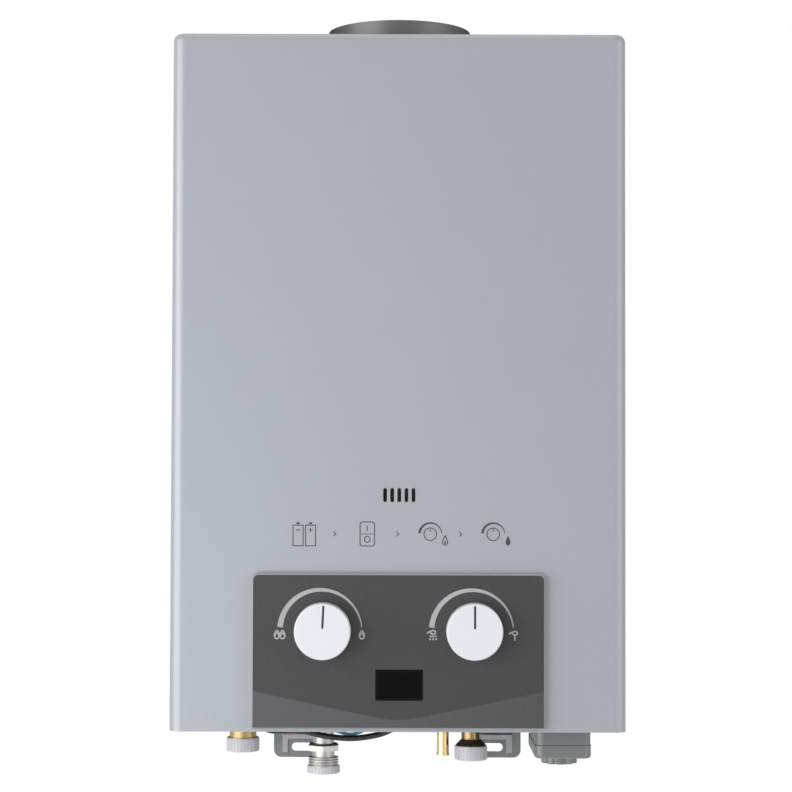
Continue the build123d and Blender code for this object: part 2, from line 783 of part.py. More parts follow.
# Injectors screwed into the manifold, one for each burner mouth
with BuildPart() as gas_injectors:
    for x in bar_xs:
        injector_y = (manifold_back_y, manifold_back_y + injector_length)
        fore_and_aft(x, manifold_mid, injector_y, injector_radius)
        fore_and_aft(x, manifold_mid, (injector_y[0] - overrun, injector_y[1] + overrun),
                     injector_bore, Mode.SUBTRACT)

# Gas valve body behind the left knob
with BuildPart() as gas_valve_body:
    block(around(gas_inlet_x, valve_width), around(core_y, valve_depth), (shelf_top, gas_valve_top))
    fillet(gas_valve_body.edges().filter_by(Axis.Z), radius=valve_corner)
    fore_and_aft(gas_knob_x, knob_z, (valve_front_y - boss_length, valve_front_y), boss_radius)
    fore_and_aft(gas_knob_x, knob_z, (valve_front_y - boss_length - overrun, valve_front_y + spindle_seat),
                 spindle_radius + running_fit, Mode.SUBTRACT)

    upright(gas_inlet_x, core_y, (shelf_top + valve_floor, knob_z - spindle_radius - valve_chamber_roof),
            valve_chamber_radius, Mode.SUBTRACT)
    upright(gas_inlet_x, core_y, around(shelf_top, 2 * valve_floor), waterway_radius, Mode.SUBTRACT)

# Shut-off solenoid on the gas valve, with its terminal block
solenoid_y = core_y - solenoid_forward
solenoid_end_x = gas_inlet_x - valve_width / 2
solenoid_mid_x = solenoid_end_x - solenoid_length / 2
terminal_y = (solenoid_y - solenoid_radius - terminal_reach, solenoid_y - solenoid_radius / 2)
terminal_low = black_lead_route[0][1]
with BuildPart() as gas_solenoid:
    crosswise(solenoid_y, solenoid_z, (solenoid_end_x - solenoid_length, solenoid_end_x), solenoid_radius)
    fillet(gas_solenoid.edges().group_by(Axis.X)[0], radius=solenoid_radius / 6)
    block(around(solenoid_mid_x, terminal_width), terminal_y, (terminal_low, terminal_low + terminal_height))

# Water valve body behind the right knob
water_valve_top = shelf_top + water_valve_height
with BuildPart() as water_valve_body:
    block(around(cold_inlet_x, valve_width), around(core_y, valve_depth), (shelf_top, water_valve_top))
    fillet(water_valve_body.edges().filter_by(Axis.Z), radius=valve_corner)
    fore_and_aft(water_knob_x, knob_z, (valve_front_y - boss_length, valve_front_y), boss_radius)
    fore_and_aft(water_knob_x, knob_z, (valve_front_y - boss_length - overrun, valve_front_y + spindle_seat),
                 spindle_radius + running_fit, Mode.SUBTRACT)

    upright(cold_inlet_x, core_y, (shelf_top + valve_floor, knob_z - spindle_radius - valve_chamber_roof),
            valve_chamber_radius, Mode.SUBTRACT)
    upright(cold_inlet_x, core_y, around(shelf_top, 2 * valve_floor), waterway_radius, Mode.SUBTRACT)

# Flow microswitch on the front of the water valve
with BuildPart() as microswitch:
    switch_front_y = valve_front_y - microswitch_depth
    block(around(cold_inlet_x, microswitch_width), (switch_front_y, valve_front_y),
          around(microswitch_z, microswitch_height))
    fore_and_aft(cold_inlet_x, microswitch_z, (switch_front_y - plunger_length, switch_front_y),
                 plunger_radius)

# Diaphragm housing halves between the two valves, with the rubber diaphragm and its screws
gas_half_x = (gas_inlet_x + valve_width / 2, -diaphragm_sheet / 2)
water_half_x = (diaphragm_sheet / 2, cold_inlet_x - valve_width / 2)
screw_turns = [radians(360 / diaphragm_screw_count * index) for index in range(diaphragm_screw_count)]
screw_places = [(core_y + diaphragm_screw_circle * cos(a), diaphragm_z + diaphragm_screw_circle * sin(a))
                for a in screw_turns]


def housing_half(x_span, flange_x):
    """Hub and bolted flange of one half of the diaphragm housing."""
    with BuildPart() as half:
        crosswise(core_y, diaphragm_z, x_span, diaphragm_hub_radius)
        crosswise(core_y, diaphragm_z, flange_x, diaphragm_flange_radius)
        for y, z in screw_places:
            crosswise(y, z, (flange_x[0] - overrun, flange_x[1] + overrun),
                      diaphragm_screw_radius + tube_fit, Mode.SUBTRACT)
    return half


diaphragm_gas_half = housing_half(gas_half_x, (gas_half_x[1] - diaphragm_flange, gas_half_x[1]))
diaphragm_water_half = housing_half(water_half_x, (water_half_x[0], water_half_x[0] + diaphragm_flange))
with BuildPart() as diaphragm:
    crosswise(core_y, diaphragm_z, around(0, diaphragm_sheet), diaphragm_flange_radius)
    for y, z in screw_places:
        crosswise(y, z, around(0, diaphragm_sheet + 2 * overrun), diaphragm_screw_radius + tube_fit,
                  Mode.SUBTRACT)
with BuildPart() as diaphragm_screws:
    clamp_x = diaphragm_sheet / 2 + diaphragm_flange
    for y, z in screw_places:
        crosswise(y, z, (-clamp_x, clamp_x), diaphragm_screw_radius)
        crosswise(y, z, (clamp_x, clamp_x + diaphragm_head_height), diaphragm_head_radius)
        crosswise(y, z, (-clamp_x - diaphragm_head_height, -clamp_x), diaphragm_head_radius)

# Gas inlet connection: neck, hexagon, collar and thread
gas_hex_top = -gas_hex_drop - gas_washer_sheet
gas_hex_low = gas_hex_top - gas_hex_height
gas_thread_top = gas_hex_low - gas_collar_height
gas_thread_low = -gas_cap_drop - gas_cap_height + cap_end + seat_gap
with BuildPart() as gas_inlet_fitting:
    upright(gas_inlet_x, core_y, (gas_hex_top, shelf_top), gas_neck_radius)
    hexagon(gas_inlet_x, core_y, (gas_hex_low, gas_hex_top), gas_hex_flats)
    upright(gas_inlet_x, core_y, (gas_thread_top, gas_hex_low), gas_collar_radius)
    upright(gas_inlet_x, core_y, (gas_thread_low, gas_thread_top), thread_radius)
    thread_grooves(gas_inlet_x, core_y, (gas_thread_low, gas_thread_top))
    upright(gas_inlet_x, core_y, (gas_thread_low - overrun, shelf_top + overrun), waterway_radius,
            Mode.SUBTRACT)
with BuildPart() as gas_inlet_washer:
    upright(gas_inlet_x, core_y, (gas_hex_top, gas_hex_top + gas_washer_sheet), gas_washer_radius)
    upright(gas_inlet_x, core_y, around(gas_hex_top, 2 * overrun), gas_neck_radius + inlay_fit, Mode.SUBTRACT)

# Cold inlet connection: neck, flared shoulder and thread
cold_thread_top = -cold_flare_drop - cold_flare_height
cold_thread_low = -cold_cap_drop - cold_cap_height + cap_end + seat_gap
with BuildPart() as cold_inlet_fitting:
    upright(cold_inlet_x, core_y, (-cold_flare_drop, shelf_top), cold_neck_radius)
    with Locations((cold_inlet_x, core_y, -cold_flare_drop - cold_flare_height / 2)):
        Cone(thread_radius, cold_neck_radius, cold_flare_height)
    upright(cold_inlet_x, core_y, (cold_thread_low, cold_thread_top), thread_radius)
    thread_grooves(cold_inlet_x, core_y, (cold_thread_low, cold_thread_top))
    upright(cold_inlet_x, core_y, (cold_thread_low - overrun, shelf_top + overrun), waterway_radius,
            Mode.SUBTRACT)

# Hot outlet connection: socket for the pipe, lock nut, neck and thread
hot_socket_top = shelf_top + hot_nut_height + hot_socket_rise
hot_thread_low = -hot_cap_drop - hot_cap_height + cap_end + seat_gap
with BuildPart() as hot_outlet_fitting:
    upright(hot_outlet_x, core_y, (shelf_top + hot_nut_height, hot_socket_top), hot_neck_radius)
    hexagon(hot_outlet_x, core_y, (shelf_top, shelf_top + hot_nut_height), hot_nut_flats)
    upright(hot_outlet_x, core_y, (-hot_thread_drop, shelf_top), hot_neck_radius)
    upright(hot_outlet_x, core_y, (hot_thread_low, -hot_thread_drop), thread_radius)
    thread_grooves(hot_outlet_x, core_y, (hot_thread_low, -hot_thread_drop))
    upright(hot_outlet_x, core_y, (hot_thread_low - overrun, hot_socket_top + overrun),
            waterway_radius, Mode.SUBTRACT)

# Relief and drain tube beside the cold inlet
with BuildPart() as relief_tube:
    upright(relief_x, core_y, (-relief_drop, shelf_top), relief_radius)
    upright(relief_x, core_y, (-relief_drop, -relief_drop + relief_lip_height), relief_radius + relief_lip)
    upright(relief_x, core_y, (-relief_drop - overrun, 0), relief_bore, Mode.SUBTRACT)


def screw_cap(x, drop, height):
    """Closed ribbed cap over a threaded end, rim upwards."""
    with BuildPart() as cap:
        z_span = (-drop - height, -drop)
        upright(x, core_y, z_span, cap_radius)
        fillet(cap.edges().group_by(Axis.Z)[0], radius=cap_edge)
        with BuildSketch(Plane(origin=(x, core_y, z_span[0] + cap_edge))):
            with PolarLocations(cap_radius, cap_rib_count):
                Rectangle(2 * cap_rib_height, cap_rib_width)
        extrude(amount=height - 2 * cap_edge)
        upright(x, core_y, (z_span[0] + cap_end, z_span[1] + overrun), thread_radius + cap_fit, Mode.SUBTRACT)
    return cap


gas_inlet_cap = screw_cap(gas_inlet_x, gas_cap_drop, gas_cap_height)
cold_inlet_cap = screw_cap(cold_inlet_x, cold_cap_drop, cold_cap_height)
hot_outlet_cap = screw_cap(hot_outlet_x, hot_cap_drop, hot_cap_height)

# Cold feed pipe up the right side, hot pipe down the left side
cold_pipe = pipe((
    (cold_inlet_x + valve_width / 2, core_y, cold_pipe_z),
    (pipe_x, core_y, cold_pipe_z),
    (pipe_x, tube_first_y, cold_pipe_z),
    (pipe_x, tube_first_y, tube_z),
    (core_half + tube_stub, tube_first_y, tube_z),
))
hot_pipe = pipe((
    (-core_half - tube_stub, tube_last_y, tube_z),
    (-pipe_x, tube_last_y, tube_z),
    (-pipe_x, tube_last_y, hot_pipe_low_z),
    (-pipe_x, core_y, hot_pipe_low_z),
    (hot_outlet_x, core_y, hot_pipe_knee_z),
    (hot_outlet_x, core_y, hot_socket_top),
))

# Spark and flame electrodes: ceramic bodies through the chamber wall, metal rods in them
electrode_xs = (-electrode_span / 2, electrode_span / 2)
electrode_z = core_low + electrode_rise
insulator_y = (core_front_y - insulator_front, core_front_y + insulator_inside)
with BuildPart() as electrode_insulators:
    for x in electrode_xs:
        fore_and_aft(x, electrode_z, insulator_y, insulator_radius)
        fore_and_aft(x, electrode_z, (insulator_y[0] - overrun, insulator_y[1] + overrun),
                     electrode_radius + electrode_fit, Mode.SUBTRACT)
with BuildPart() as electrode_rods:
    for x in electrode_xs:
        fore_and_aft(x, electrode_z, (insulator_y[0] - electrode_tail, insulator_y[1] + electrode_tip),
                     electrode_radius)

# Overheat switch on the chamber's front
with BuildPart() as overheat_switch:
    overheat_x = core_half - overheat_inset
    overheat_z = fin_top - fin_height - overheat_drop
    fore_and_aft(overheat_x, overheat_z, (core_front_y - overheat_height, core_front_y), overheat_radius)
    fore_and_aft(overheat_x, overheat_z, (core_front_y - 2 * overheat_height, core_front_y - overheat_height),
                 overheat_radius / 2)

# Ignition controller, hung from the manifold by its ear
with BuildPart() as ignition_controller:
    controller_y = (-controller_back - controller_depth, -controller_back)
    controller_top = controller_low_z + controller_height
    block(around(0, controller_width), controller_y, (controller_low_z, controller_top))
    fillet(ignition_controller.edges().filter_by(Axis.Z), radius=controller_corner)
    block(around(0, ear_width), (manifold_front_y - ear_sheet, manifold_front_y),
          (controller_top, manifold_low + ear_overlap))

# Control panel moulding on the cover, with a pocket for the window
with BuildPart() as control_panel:
    panel_mid_z = panel_low_z + panel_height / 2
    with BuildSketch(front_plane):
        with Locations((panel_x, panel_mid_z)):
            Rectangle(panel_width, panel_height)
    extrude(amount=panel_thickness)
    upright_edges = control_panel.edges().filter_by(Axis.Y).group_by(Axis.Z)
    fillet(upright_edges[-1], radius=panel_corner)
    fillet(control_panel.edges().filter_by(Axis.Y).group_by(Axis.Z)[0], radius=panel_foot_corner)
    chamfer(control_panel.faces().sort_by(Axis.Y)[0].edges(), length=panel_bevel)
    with BuildSketch(front_plane):
        with Locations((gas_knob_x, knob_z), (water_knob_x, knob_z)):
            Circle(spindle_hole_radius)
        with Locations((window_x, window_z)):
            Rectangle(window_width - 2 * module_margin + 2 * window_fit,
                      window_height - 2 * module_margin + 2 * window_fit)
    extrude(amount=panel_thickness + overrun, mode=Mode.SUBTRACT)
    lens_back = panel_thickness + overlay_sheet + window_proud - window_thickness
    with BuildSketch(front_plane.offset(lens_back)):
        with Locations((window_x, window_z)):
            RectangleRounded(window_width + 2 * window_fit, window_height + 2 * window_fit, window_corner)
    extrude(amount=window_thickness, mode=Mode.SUBTRACT)
    with BuildSketch(front_plane):
        with Locations((panel_x, panel_mid_z)):
            with GridLocations(panel_width - 2 * panel_boss_inset, panel_height - 2 * panel_boss_inset, 2, 2):
                Circle(panel_boss_radius)
    extrude(amount=-panel_boss_length)

# Dark overlay sheet on the panel
with BuildPart() as panel_overlay:
    sheet_width = panel_width - 2 * (panel_bevel + overlay_inset)
    sheet_height = panel_height - 2 * (panel_bevel + overlay_inset)
    with BuildSketch(front_plane.offset(panel_thickness)):
        with Locations((panel_x, panel_mid_z)):
            Rectangle(sheet_width, sheet_height)
    extrude(amount=overlay_sheet)
    fillet(panel_overlay.edges().filter_by(Axis.Y).group_by(Axis.Z)[-1],
           radius=panel_corner - panel_bevel)
    with BuildSketch(front_plane.offset(panel_thickness)):
        with Locations((gas_knob_x, knob_z), (water_knob_x, knob_z)):
            Circle(spindle_hole_radius)
        with Locations((window_x, window_z)):
            RectangleRounded(window_width + 2 * window_fit, window_height + 2 * window_fit, window_corner)
    extrude(amount=overlay_sheet + overrun, mode=Mode.SUBTRACT)

# Display: dark window, digit module and circuit board
with BuildPart() as display_window:
    with BuildSketch(front_plane.offset(lens_back)):
        with Locations((window_x, window_z)):
            RectangleRounded(window_width, window_height, window_corner)
    extrude(amount=window_thickness)
with BuildPart() as display_module:
    with BuildSketch(front_plane):
        with Locations((window_x, window_z)):
            Rectangle(window_width - 2 * module_margin, window_height - 2 * module_margin)
    extrude(amount=lens_back - window_fit)
with BuildPart() as display_board:
    with BuildSketch(front_plane):
        with Locations((window_x, window_z)):
            Rectangle(window_width + 2 * board_margin, window_height + 2 * board_margin)
    extrude(amount=-board_sheet)


def knob(x, pointer_angle):
    """White turning knob with a bore for its spindle and a groove for its pointer."""
    with BuildPart() as handle:
        with BuildSketch(front_plane.offset(front_y - knob_back_y)):
            with Locations((x, knob_z)):
                Circle(knob_radius + knob_taper)
        with BuildSketch(front_plane.offset(front_y - knob_front_y)):
            with Locations((x, knob_z)):
                Circle(knob_radius)
        loft(ruled=True)
        fillet(handle.edges().group_by(Axis.Y)[0], radius=knob_edge)
        fore_and_aft(x, knob_z, (knob_back_y - knob_bore_depth, knob_back_y + overrun),
                     spindle_radius + inlay_fit, Mode.SUBTRACT)
        with BuildSketch(pointer_plane(x, pointer_angle)):
            with Locations((0, (pointer_outer + pointer_inner) / 2)):
                SlotOverall(pointer_outer - pointer_inner + 2 * inlay_fit, pointer_width + 2 * inlay_fit,
                            rotation=90)
        extrude(amount=-pointer_depth, mode=Mode.SUBTRACT)
    return handle


def pointer_plane(x, pointer_angle):
    """Plane of a knob's face, turned so that its Y runs along the pointer."""
    turn = radians(pointer_angle)
    return Plane(origin=(x, knob_front_y, knob_z), x_dir=(cos(turn), 0, -sin(turn)), z_dir=(0, -1, 0))


def knob_pointer(x, pointer_angle):
    """Dark line inlaid in a knob's face."""
    with BuildPart() as line:
        with BuildSketch(pointer_plane(x, pointer_angle).offset(-pointer_depth)):
            with Locations((0, (pointer_outer + pointer_inner) / 2)):
                SlotOverall(pointer_outer - pointer_inner, pointer_width, rotation=90)
        extrude(amount=pointer_depth + pointer_proud)
    return line


def spindle(x):
    """Steel spindle from the bottom of the valve's bore to the bottom of the knob's bore."""
    with BuildPart() as shaft:
        fore_and_aft(x, knob_z, (knob_back_y - knob_bore_depth, valve_front_y + spindle_seat - seat_gap),
                     spindle_radius)
    return shaft


gas_knob = knob(gas_knob_x, gas_pointer_angle)
water_knob = knob(water_knob_x, 0)
gas_knob_pointer = knob_pointer(gas_knob_x, gas_pointer_angle)
water_knob_pointer = knob_pointer(water_knob_x, 0)
gas_spindle = spindle(gas_knob_x)
water_spindle = spindle(water_knob_x)

# Battery box, let down through the shelf, with its rim and two hinge eyes
with BuildPart() as battery_box:
    with BuildSketch(Plane(origin=(battery_x, battery_y, seam_z))):
        RectangleRounded(battery_width, battery_length, battery_corner)
    extrude(amount=battery_top_z - seam_z)
    with BuildSketch(Plane(origin=(battery_x, battery_y, shelf_top))):
        RectangleRounded(battery_width + 2 * battery_rim, battery_length + 2 * battery_rim, battery_corner)
    extrude(amount=battery_rim_sheet)
    with BuildSketch(Plane(origin=(battery_x, battery_y, seam_z))):
        RectangleRounded(battery_width - 2 * battery_wall, battery_length - 2 * battery_wall,
                         battery_corner - battery_wall)
    extrude(amount=battery_ceiling_z - seam_z, mode=Mode.SUBTRACT)
    for side in (-1, 1):
        eye_x = battery_x + side * (hinge_lid_length + hinge_box_length + 2 * seat_gap) / 2
        crosswise(hinge_y, hinge_z, around(eye_x, hinge_box_length), hinge_radius)
        block(around(eye_x, hinge_box_length), (battery_back_y, hinge_y), (hinge_z, hinge_z + hinge_radius))
    crosswise(hinge_y, hinge_z, around(battery_x, battery_width), hinge_pin_radius + inlay_fit, Mode.SUBTRACT)

# Two D cells, the contact strip over them
cell_ys = (battery_y - cell_radius - cell_gap / 2, battery_y + cell_radius + cell_gap / 2)
with BuildPart() as battery_cells:
    for y in cell_ys:
        upright(battery_x, y, (cell_low_z, cell_high_z), cell_radius)
        upright(battery_x, y, (cell_high_z, cell_high_z + cell_nub_height), cell_nub_radius)
with BuildPart() as battery_contacts:
    for y in cell_ys:
        block(around(battery_x, contact_width), around(y, contact_width), (contact_low_z, battery_ceiling_z))

# Battery lid: a tray under the box, hinged at the back
with BuildPart() as battery_lid:
    lid_width = battery_width + 2 * lid_proud
    lid_length = battery_length + 2 * lid_proud
    with BuildSketch(Plane(origin=(battery_x, battery_y, lid_low_z))):
        RectangleRounded(lid_width, lid_length, battery_corner + lid_proud)
    extrude(amount=lid_height)
    fillet(battery_lid.faces().sort_by(Axis.Z)[0].edges(), radius=lid_edge)
    with BuildSketch(Plane(origin=(battery_x, battery_y, lid_floor_z))):
        RectangleRounded(battery_width - 2 * battery_wall, battery_length - 2 * battery_wall,
                         battery_corner - battery_wall)
    extrude(amount=lid_height, mode=Mode.SUBTRACT)
    upright(battery_x, battery_y, around(lid_low_z, 2 * overrun), latch_shaft_radius + running_fit,
            Mode.SUBTRACT)
    crosswise(hinge_y, hinge_z, around(battery_x, hinge_lid_length), hinge_radius)
    block(around(battery_x, hinge_lid_length), (battery_back_y + lid_proud - battery_wall, hinge_y),
          (hinge_z - hinge_radius, lid_top_z))
    crosswise(hinge_y, hinge_z, around(battery_x, battery_width), hinge_pin_radius + running_fit,
              Mode.SUBTRACT)

# Spring leaves in the lid, one under each cell
with BuildPart() as lid_contacts:
    for side in (-1, 1):
        middle = battery_y + side * leaf_offset
        leaf_plane = Plane(origin=(battery_x - leaf_width / 2, middle, lid_floor_z),
                           x_dir=(0, 1, 0), z_dir=(1, 0, 0))
        crest = leaf_length / 2 - leaf_foot
        with BuildSketch(leaf_plane):
            with BuildLine():
                Polyline((-leaf_length / 2, 0), (-crest, leaf_rise), (crest, leaf_rise), (leaf_length / 2, 0),
                         (leaf_length / 2 - 2 * leaf_sheet, 0), (crest - leaf_sheet, leaf_rise - leaf_sheet),
                         (-crest + leaf_sheet, leaf_rise - leaf_sheet),
                         (-leaf_length / 2 + 2 * leaf_sheet, 0), close=True)
            make_face()
        extrude(amount=leaf_width)

# Quarter-turn latch: scalloped knob, shaft through the lid, bar above it
with BuildPart() as battery_latch:
    latch_top_z = lid_low_z - latch_gap
    latch_low_z = latch_top_z - latch_height
    upright(battery_x, battery_y, (latch_low_z, latch_top_z), latch_radius)
    with BuildSketch(Plane(origin=(battery_x, battery_y, latch_low_z))):
        with PolarLocations(latch_radius + latch_scallop_radius / 2, latch_scallop_count):
            Circle(latch_scallop_radius)
    extrude(amount=latch_height, mode=Mode.SUBTRACT)
    fillet(battery_latch.faces().sort_by(Axis.Z)[0].edges(), radius=latch_edge)
    bar_low_z = lid_floor_z + latch_gap
    upright(battery_x, battery_y, (latch_top_z, bar_low_z), latch_shaft_radius)
    block(around(battery_x, latch_bar_length), around(battery_y, latch_bar_width),
          (bar_low_z, bar_low_z + latch_bar_height))

# Hinge pin of the lid
with BuildPart() as lid_hinge_pin:
    pin_length = hinge_lid_length + 2 * (hinge_box_length + seat_gap)
    crosswise(hinge_y, hinge_z, around(battery_x, pin_length), hinge_pin_radius)

# On/off switch housing in the shelf, and its rocker below it
switch_y = -switch_back
bezel_z = shelf_rise - switch_bezel
pivot_z = bezel_z + rocker_pivot
with BuildPart() as power_switch:
    block(around(switch_x, switch_width), around(switch_y, switch_length),
          (bezel_z, shelf_top + switch_height))
    block(around(switch_x, switch_width + 2 * switch_bezel_margin),
          around(switch_y, switch_length + 2 * switch_bezel_margin), (bezel_z, shelf_rise))
    block(around(switch_x, rocker_width + 2 * seat_gap), around(switch_y, rocker_length + 2 * rocker_clear),
          (bezel_z - overrun, bezel_z + rocker_pocket), Mode.SUBTRACT)
    crosswise(switch_y, pivot_z, around(switch_x, rocker_width + 2 * trunnion_length + 2 * seat_gap),
              trunnion_radius + running_fit, Mode.SUBTRACT)
with BuildPart() as power_rocker:
    tilt = radians(rocker_tilt)
    rocker_plane = Plane(origin=(switch_x - rocker_width / 2, switch_y, pivot_z),
                         x_dir=(0, cos(tilt), sin(tilt)), z_dir=(1, 0, 0))
    rocker_end = rocker_length / 2
    with BuildSketch(rocker_plane):
        with BuildLine():
            Polyline((-rocker_end, -rocker_end_reach), (0, -rocker_middle_reach),
                     (rocker_end, -rocker_end_reach), (rocker_end, 0),
                     (rocker_end / 2, rocker_back), (-rocker_end / 2, rocker_back), (-rocker_end, 0),
                     close=True)
        make_face()
    extrude(amount=rocker_width)
    crosswise(switch_y, pivot_z, around(switch_x, rocker_width + 2 * trunnion_length), trunnion_radius)

# Power socket in the shelf, mouth downwards, with its contact tongue
with BuildPart() as power_socket:
    socket_y = -socket_back
    mouth_z = shelf_rise - socket_flange
    block(around(socket_x, socket_width), around(socket_y, socket_length),
          (mouth_z, shelf_top + socket_height))
    block(around(socket_x, socket_width + 2 * socket_flange_margin),
          around(socket_y, socket_length + 2 * socket_flange_margin), (mouth_z, shelf_rise))
    block(around(socket_x, socket_mouth_width), around(socket_y, socket_mouth_length),
          (mouth_z - overrun, mouth_z + socket_depth), Mode.SUBTRACT)
    block(around(socket_x, tongue_width), around(socket_y, tongue_sheet),
          (mouth_z + socket_flange, mouth_z + socket_depth))

# Leads between the solenoid's terminals and the controller
black_lead = lead("black_lead", black_lead_route, black_lead_back, black_lead_radius)
blue_lead = lead("blue_lead", blue_lead_route, blue_lead_back, blue_lead_radius)
red_lead = lead("red_lead", red_lead_route, red_lead_back, red_lead_radius)

pieces = {
    "back_plate": back_plate,
    "base_shelf": base_shelf,
    "front_cover": front_cover,
    "cover_screws": cover_screws,
    "flue_collar": flue_collar,
    "draft_hood": draft_hood,
    "exchanger_shell": exchanger_shell,
    "exchanger_fins": exchanger_fins,
    "exchanger_tube": exchanger_tube,
    "exchanger_brackets": exchanger_brackets,
    "burner_tray": burner_tray,
    "burner_bars": burner_bars,
    "gas_manifold": gas_manifold,
    "gas_injectors": gas_injectors,
    "gas_valve_body": gas_valve_body,
    "gas_solenoid": gas_solenoid,
    "gas_spindle": gas_spindle,
    "water_valve_body": water_valve_body,
    "water_spindle": water_spindle,
    "microswitch": microswitch,
    "diaphragm_gas_half": diaphragm_gas_half,
    "diaphragm_water_half": diaphragm_water_half,
    "diaphragm": diaphragm,
    "diaphragm_screws": diaphragm_screws,
    "gas_inlet_fitting": gas_inlet_fitting,
    "gas_inlet_washer": gas_inlet_washer,
    "gas_inlet_cap": gas_inlet_cap,
    "cold_inlet_fitting": cold_inlet_fitting,
    "cold_inlet_cap": cold_inlet_cap,
    "hot_outlet_fitting": hot_outlet_fitting,
    "hot_outlet_cap": hot_outlet_cap,
    "relief_tube": relief_tube,
    "cold_pipe": cold_pipe,
    "hot_pipe": hot_pipe,
    "electrode_insulators": electrode_insulators,
    "electrode_rods": electrode_rods,
    "overheat_switch": overheat_switch,
    "ignition_controller": ignition_controller,
    "control_panel": control_panel,
    "panel_overlay": panel_overlay,
    "display_window": display_window,
    "display_module": display_module,
    "display_board": display_board,
    "gas_knob": gas_knob,
    "gas_knob_pointer": gas_knob_pointer,
    "water_knob": water_knob,
    "water_knob_pointer": water_knob_pointer,
    "battery_box": battery_box,
    "battery_cells": battery_cells,
    "battery_contacts": battery_contacts,
    "battery_lid": battery_lid,
    "lid_contacts": lid_contacts,
    "battery_latch": battery_latch,
    "lid_hinge_pin": lid_hinge_pin,
    "power_switch": power_switch,
    "power_rocker": power_rocker,
    "power_socket": power_socket,
    "black_lead": black_lead,
    "blue_lead": blue_lead,
    "red_lead": red_lead,
}
for name, piece in pieces.items():
    piece.part.label = name
    export_step(piece.part, f"parts/{name}.step")
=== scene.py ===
import json
from math import cos, pi, radians, sin

import bmesh
import bpy
from bpy.props import FloatProperty, FloatVectorProperty, PointerProperty
from mathutils import Matrix, Vector


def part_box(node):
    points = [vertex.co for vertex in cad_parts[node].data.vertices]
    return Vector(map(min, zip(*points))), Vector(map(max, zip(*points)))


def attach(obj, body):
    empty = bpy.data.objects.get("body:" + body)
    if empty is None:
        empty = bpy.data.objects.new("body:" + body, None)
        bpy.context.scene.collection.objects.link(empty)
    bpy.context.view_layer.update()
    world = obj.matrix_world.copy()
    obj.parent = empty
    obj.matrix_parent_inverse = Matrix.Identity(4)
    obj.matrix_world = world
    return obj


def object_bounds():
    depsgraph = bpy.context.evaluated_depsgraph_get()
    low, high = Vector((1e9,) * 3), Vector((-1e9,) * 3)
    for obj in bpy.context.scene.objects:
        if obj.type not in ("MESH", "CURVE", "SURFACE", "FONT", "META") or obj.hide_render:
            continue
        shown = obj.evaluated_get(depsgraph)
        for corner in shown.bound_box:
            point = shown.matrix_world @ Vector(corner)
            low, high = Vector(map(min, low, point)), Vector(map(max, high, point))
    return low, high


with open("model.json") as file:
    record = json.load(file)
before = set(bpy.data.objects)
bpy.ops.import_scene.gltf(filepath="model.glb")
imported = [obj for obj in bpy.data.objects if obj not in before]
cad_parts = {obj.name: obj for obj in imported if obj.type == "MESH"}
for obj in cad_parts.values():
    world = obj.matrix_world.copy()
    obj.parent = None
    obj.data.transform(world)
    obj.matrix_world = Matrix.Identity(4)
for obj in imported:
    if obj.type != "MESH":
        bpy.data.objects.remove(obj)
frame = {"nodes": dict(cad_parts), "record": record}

bl_info = {
    "name": "Wall-Hung Water Heater",
    "version": (1, 0, 0),
    "blender": (4, 5, 0),
    "location": "3D View > Sidebar > Heater",
    "description": "Finishes, printed marks and a plain studio for the water heater",
    "category": "Object",
}

MM = 0.001
WHITE = (1.0, 1.0, 1.0, 1.0)
BODY = "heater"
CAD_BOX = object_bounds()

# Places read from the frame
FILM_LOW, FILM_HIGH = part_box("panel_overlay")
WINDOW_LOW, WINDOW_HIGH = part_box("display_window")
CELLS_LOW, CELLS_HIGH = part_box("battery_cells")
BARS_LOW, BARS_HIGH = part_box("burner_bars")
CAP_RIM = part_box("cold_inlet_cap")[1].z
WALL_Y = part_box("back_plate")[1].y
FILM_FACE = Matrix.Translation((0, FILM_LOW.y, 0))
COVER_FACE = Matrix.Translation((0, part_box("front_cover")[0].y, 0))

# Lamps: name, place from the heater's centre, side length, and the setting with its power
LAMPS = (
    ("key_lamp", (-1.6, -1.15, 0.0), 1.9, "key_power"),
    ("fill_lamp", (1.7, -1.05, 0.1), 1.6, "fill_power"),
    ("top_lamp", (0.0, -0.1, 1.9), 1.2, "top_power"),
    ("front_lamp", (-0.7, -1.7, -0.55), 1.1, "front_power"),
)
FLOOR_MATT = (0.82, 0.82, 0.83, 1.0)
FLOOR_SHADE = (0.35, 0.35, 0.35, 1.0)
FLOOR_GLOW = 0.82
SENSOR_WIDTH = 36.0
CLIP_START = 0.05


def middle(node):
    """Centre of a node's box."""
    low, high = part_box(node)
    return (low + high) / 2


def colour(name, description, value):
    """A colour that a user may change, in linear light."""
    return FloatVectorProperty(name=name, description=description, default=value, size=3,
                               min=0.0, max=1.0, subtype="COLOR")


def length(name, description, value):
    """A length that a user may change, in metres."""
    return FloatProperty(name=name, description=description, default=value, min=0.0,
                         precision=5, subtype="DISTANCE", unit="LENGTH")


def angle(name, description, degrees):
    """An angle that a user may change."""
    return FloatProperty(name=name, description=description, default=radians(degrees),
                         subtype="ANGLE", unit="ROTATION")


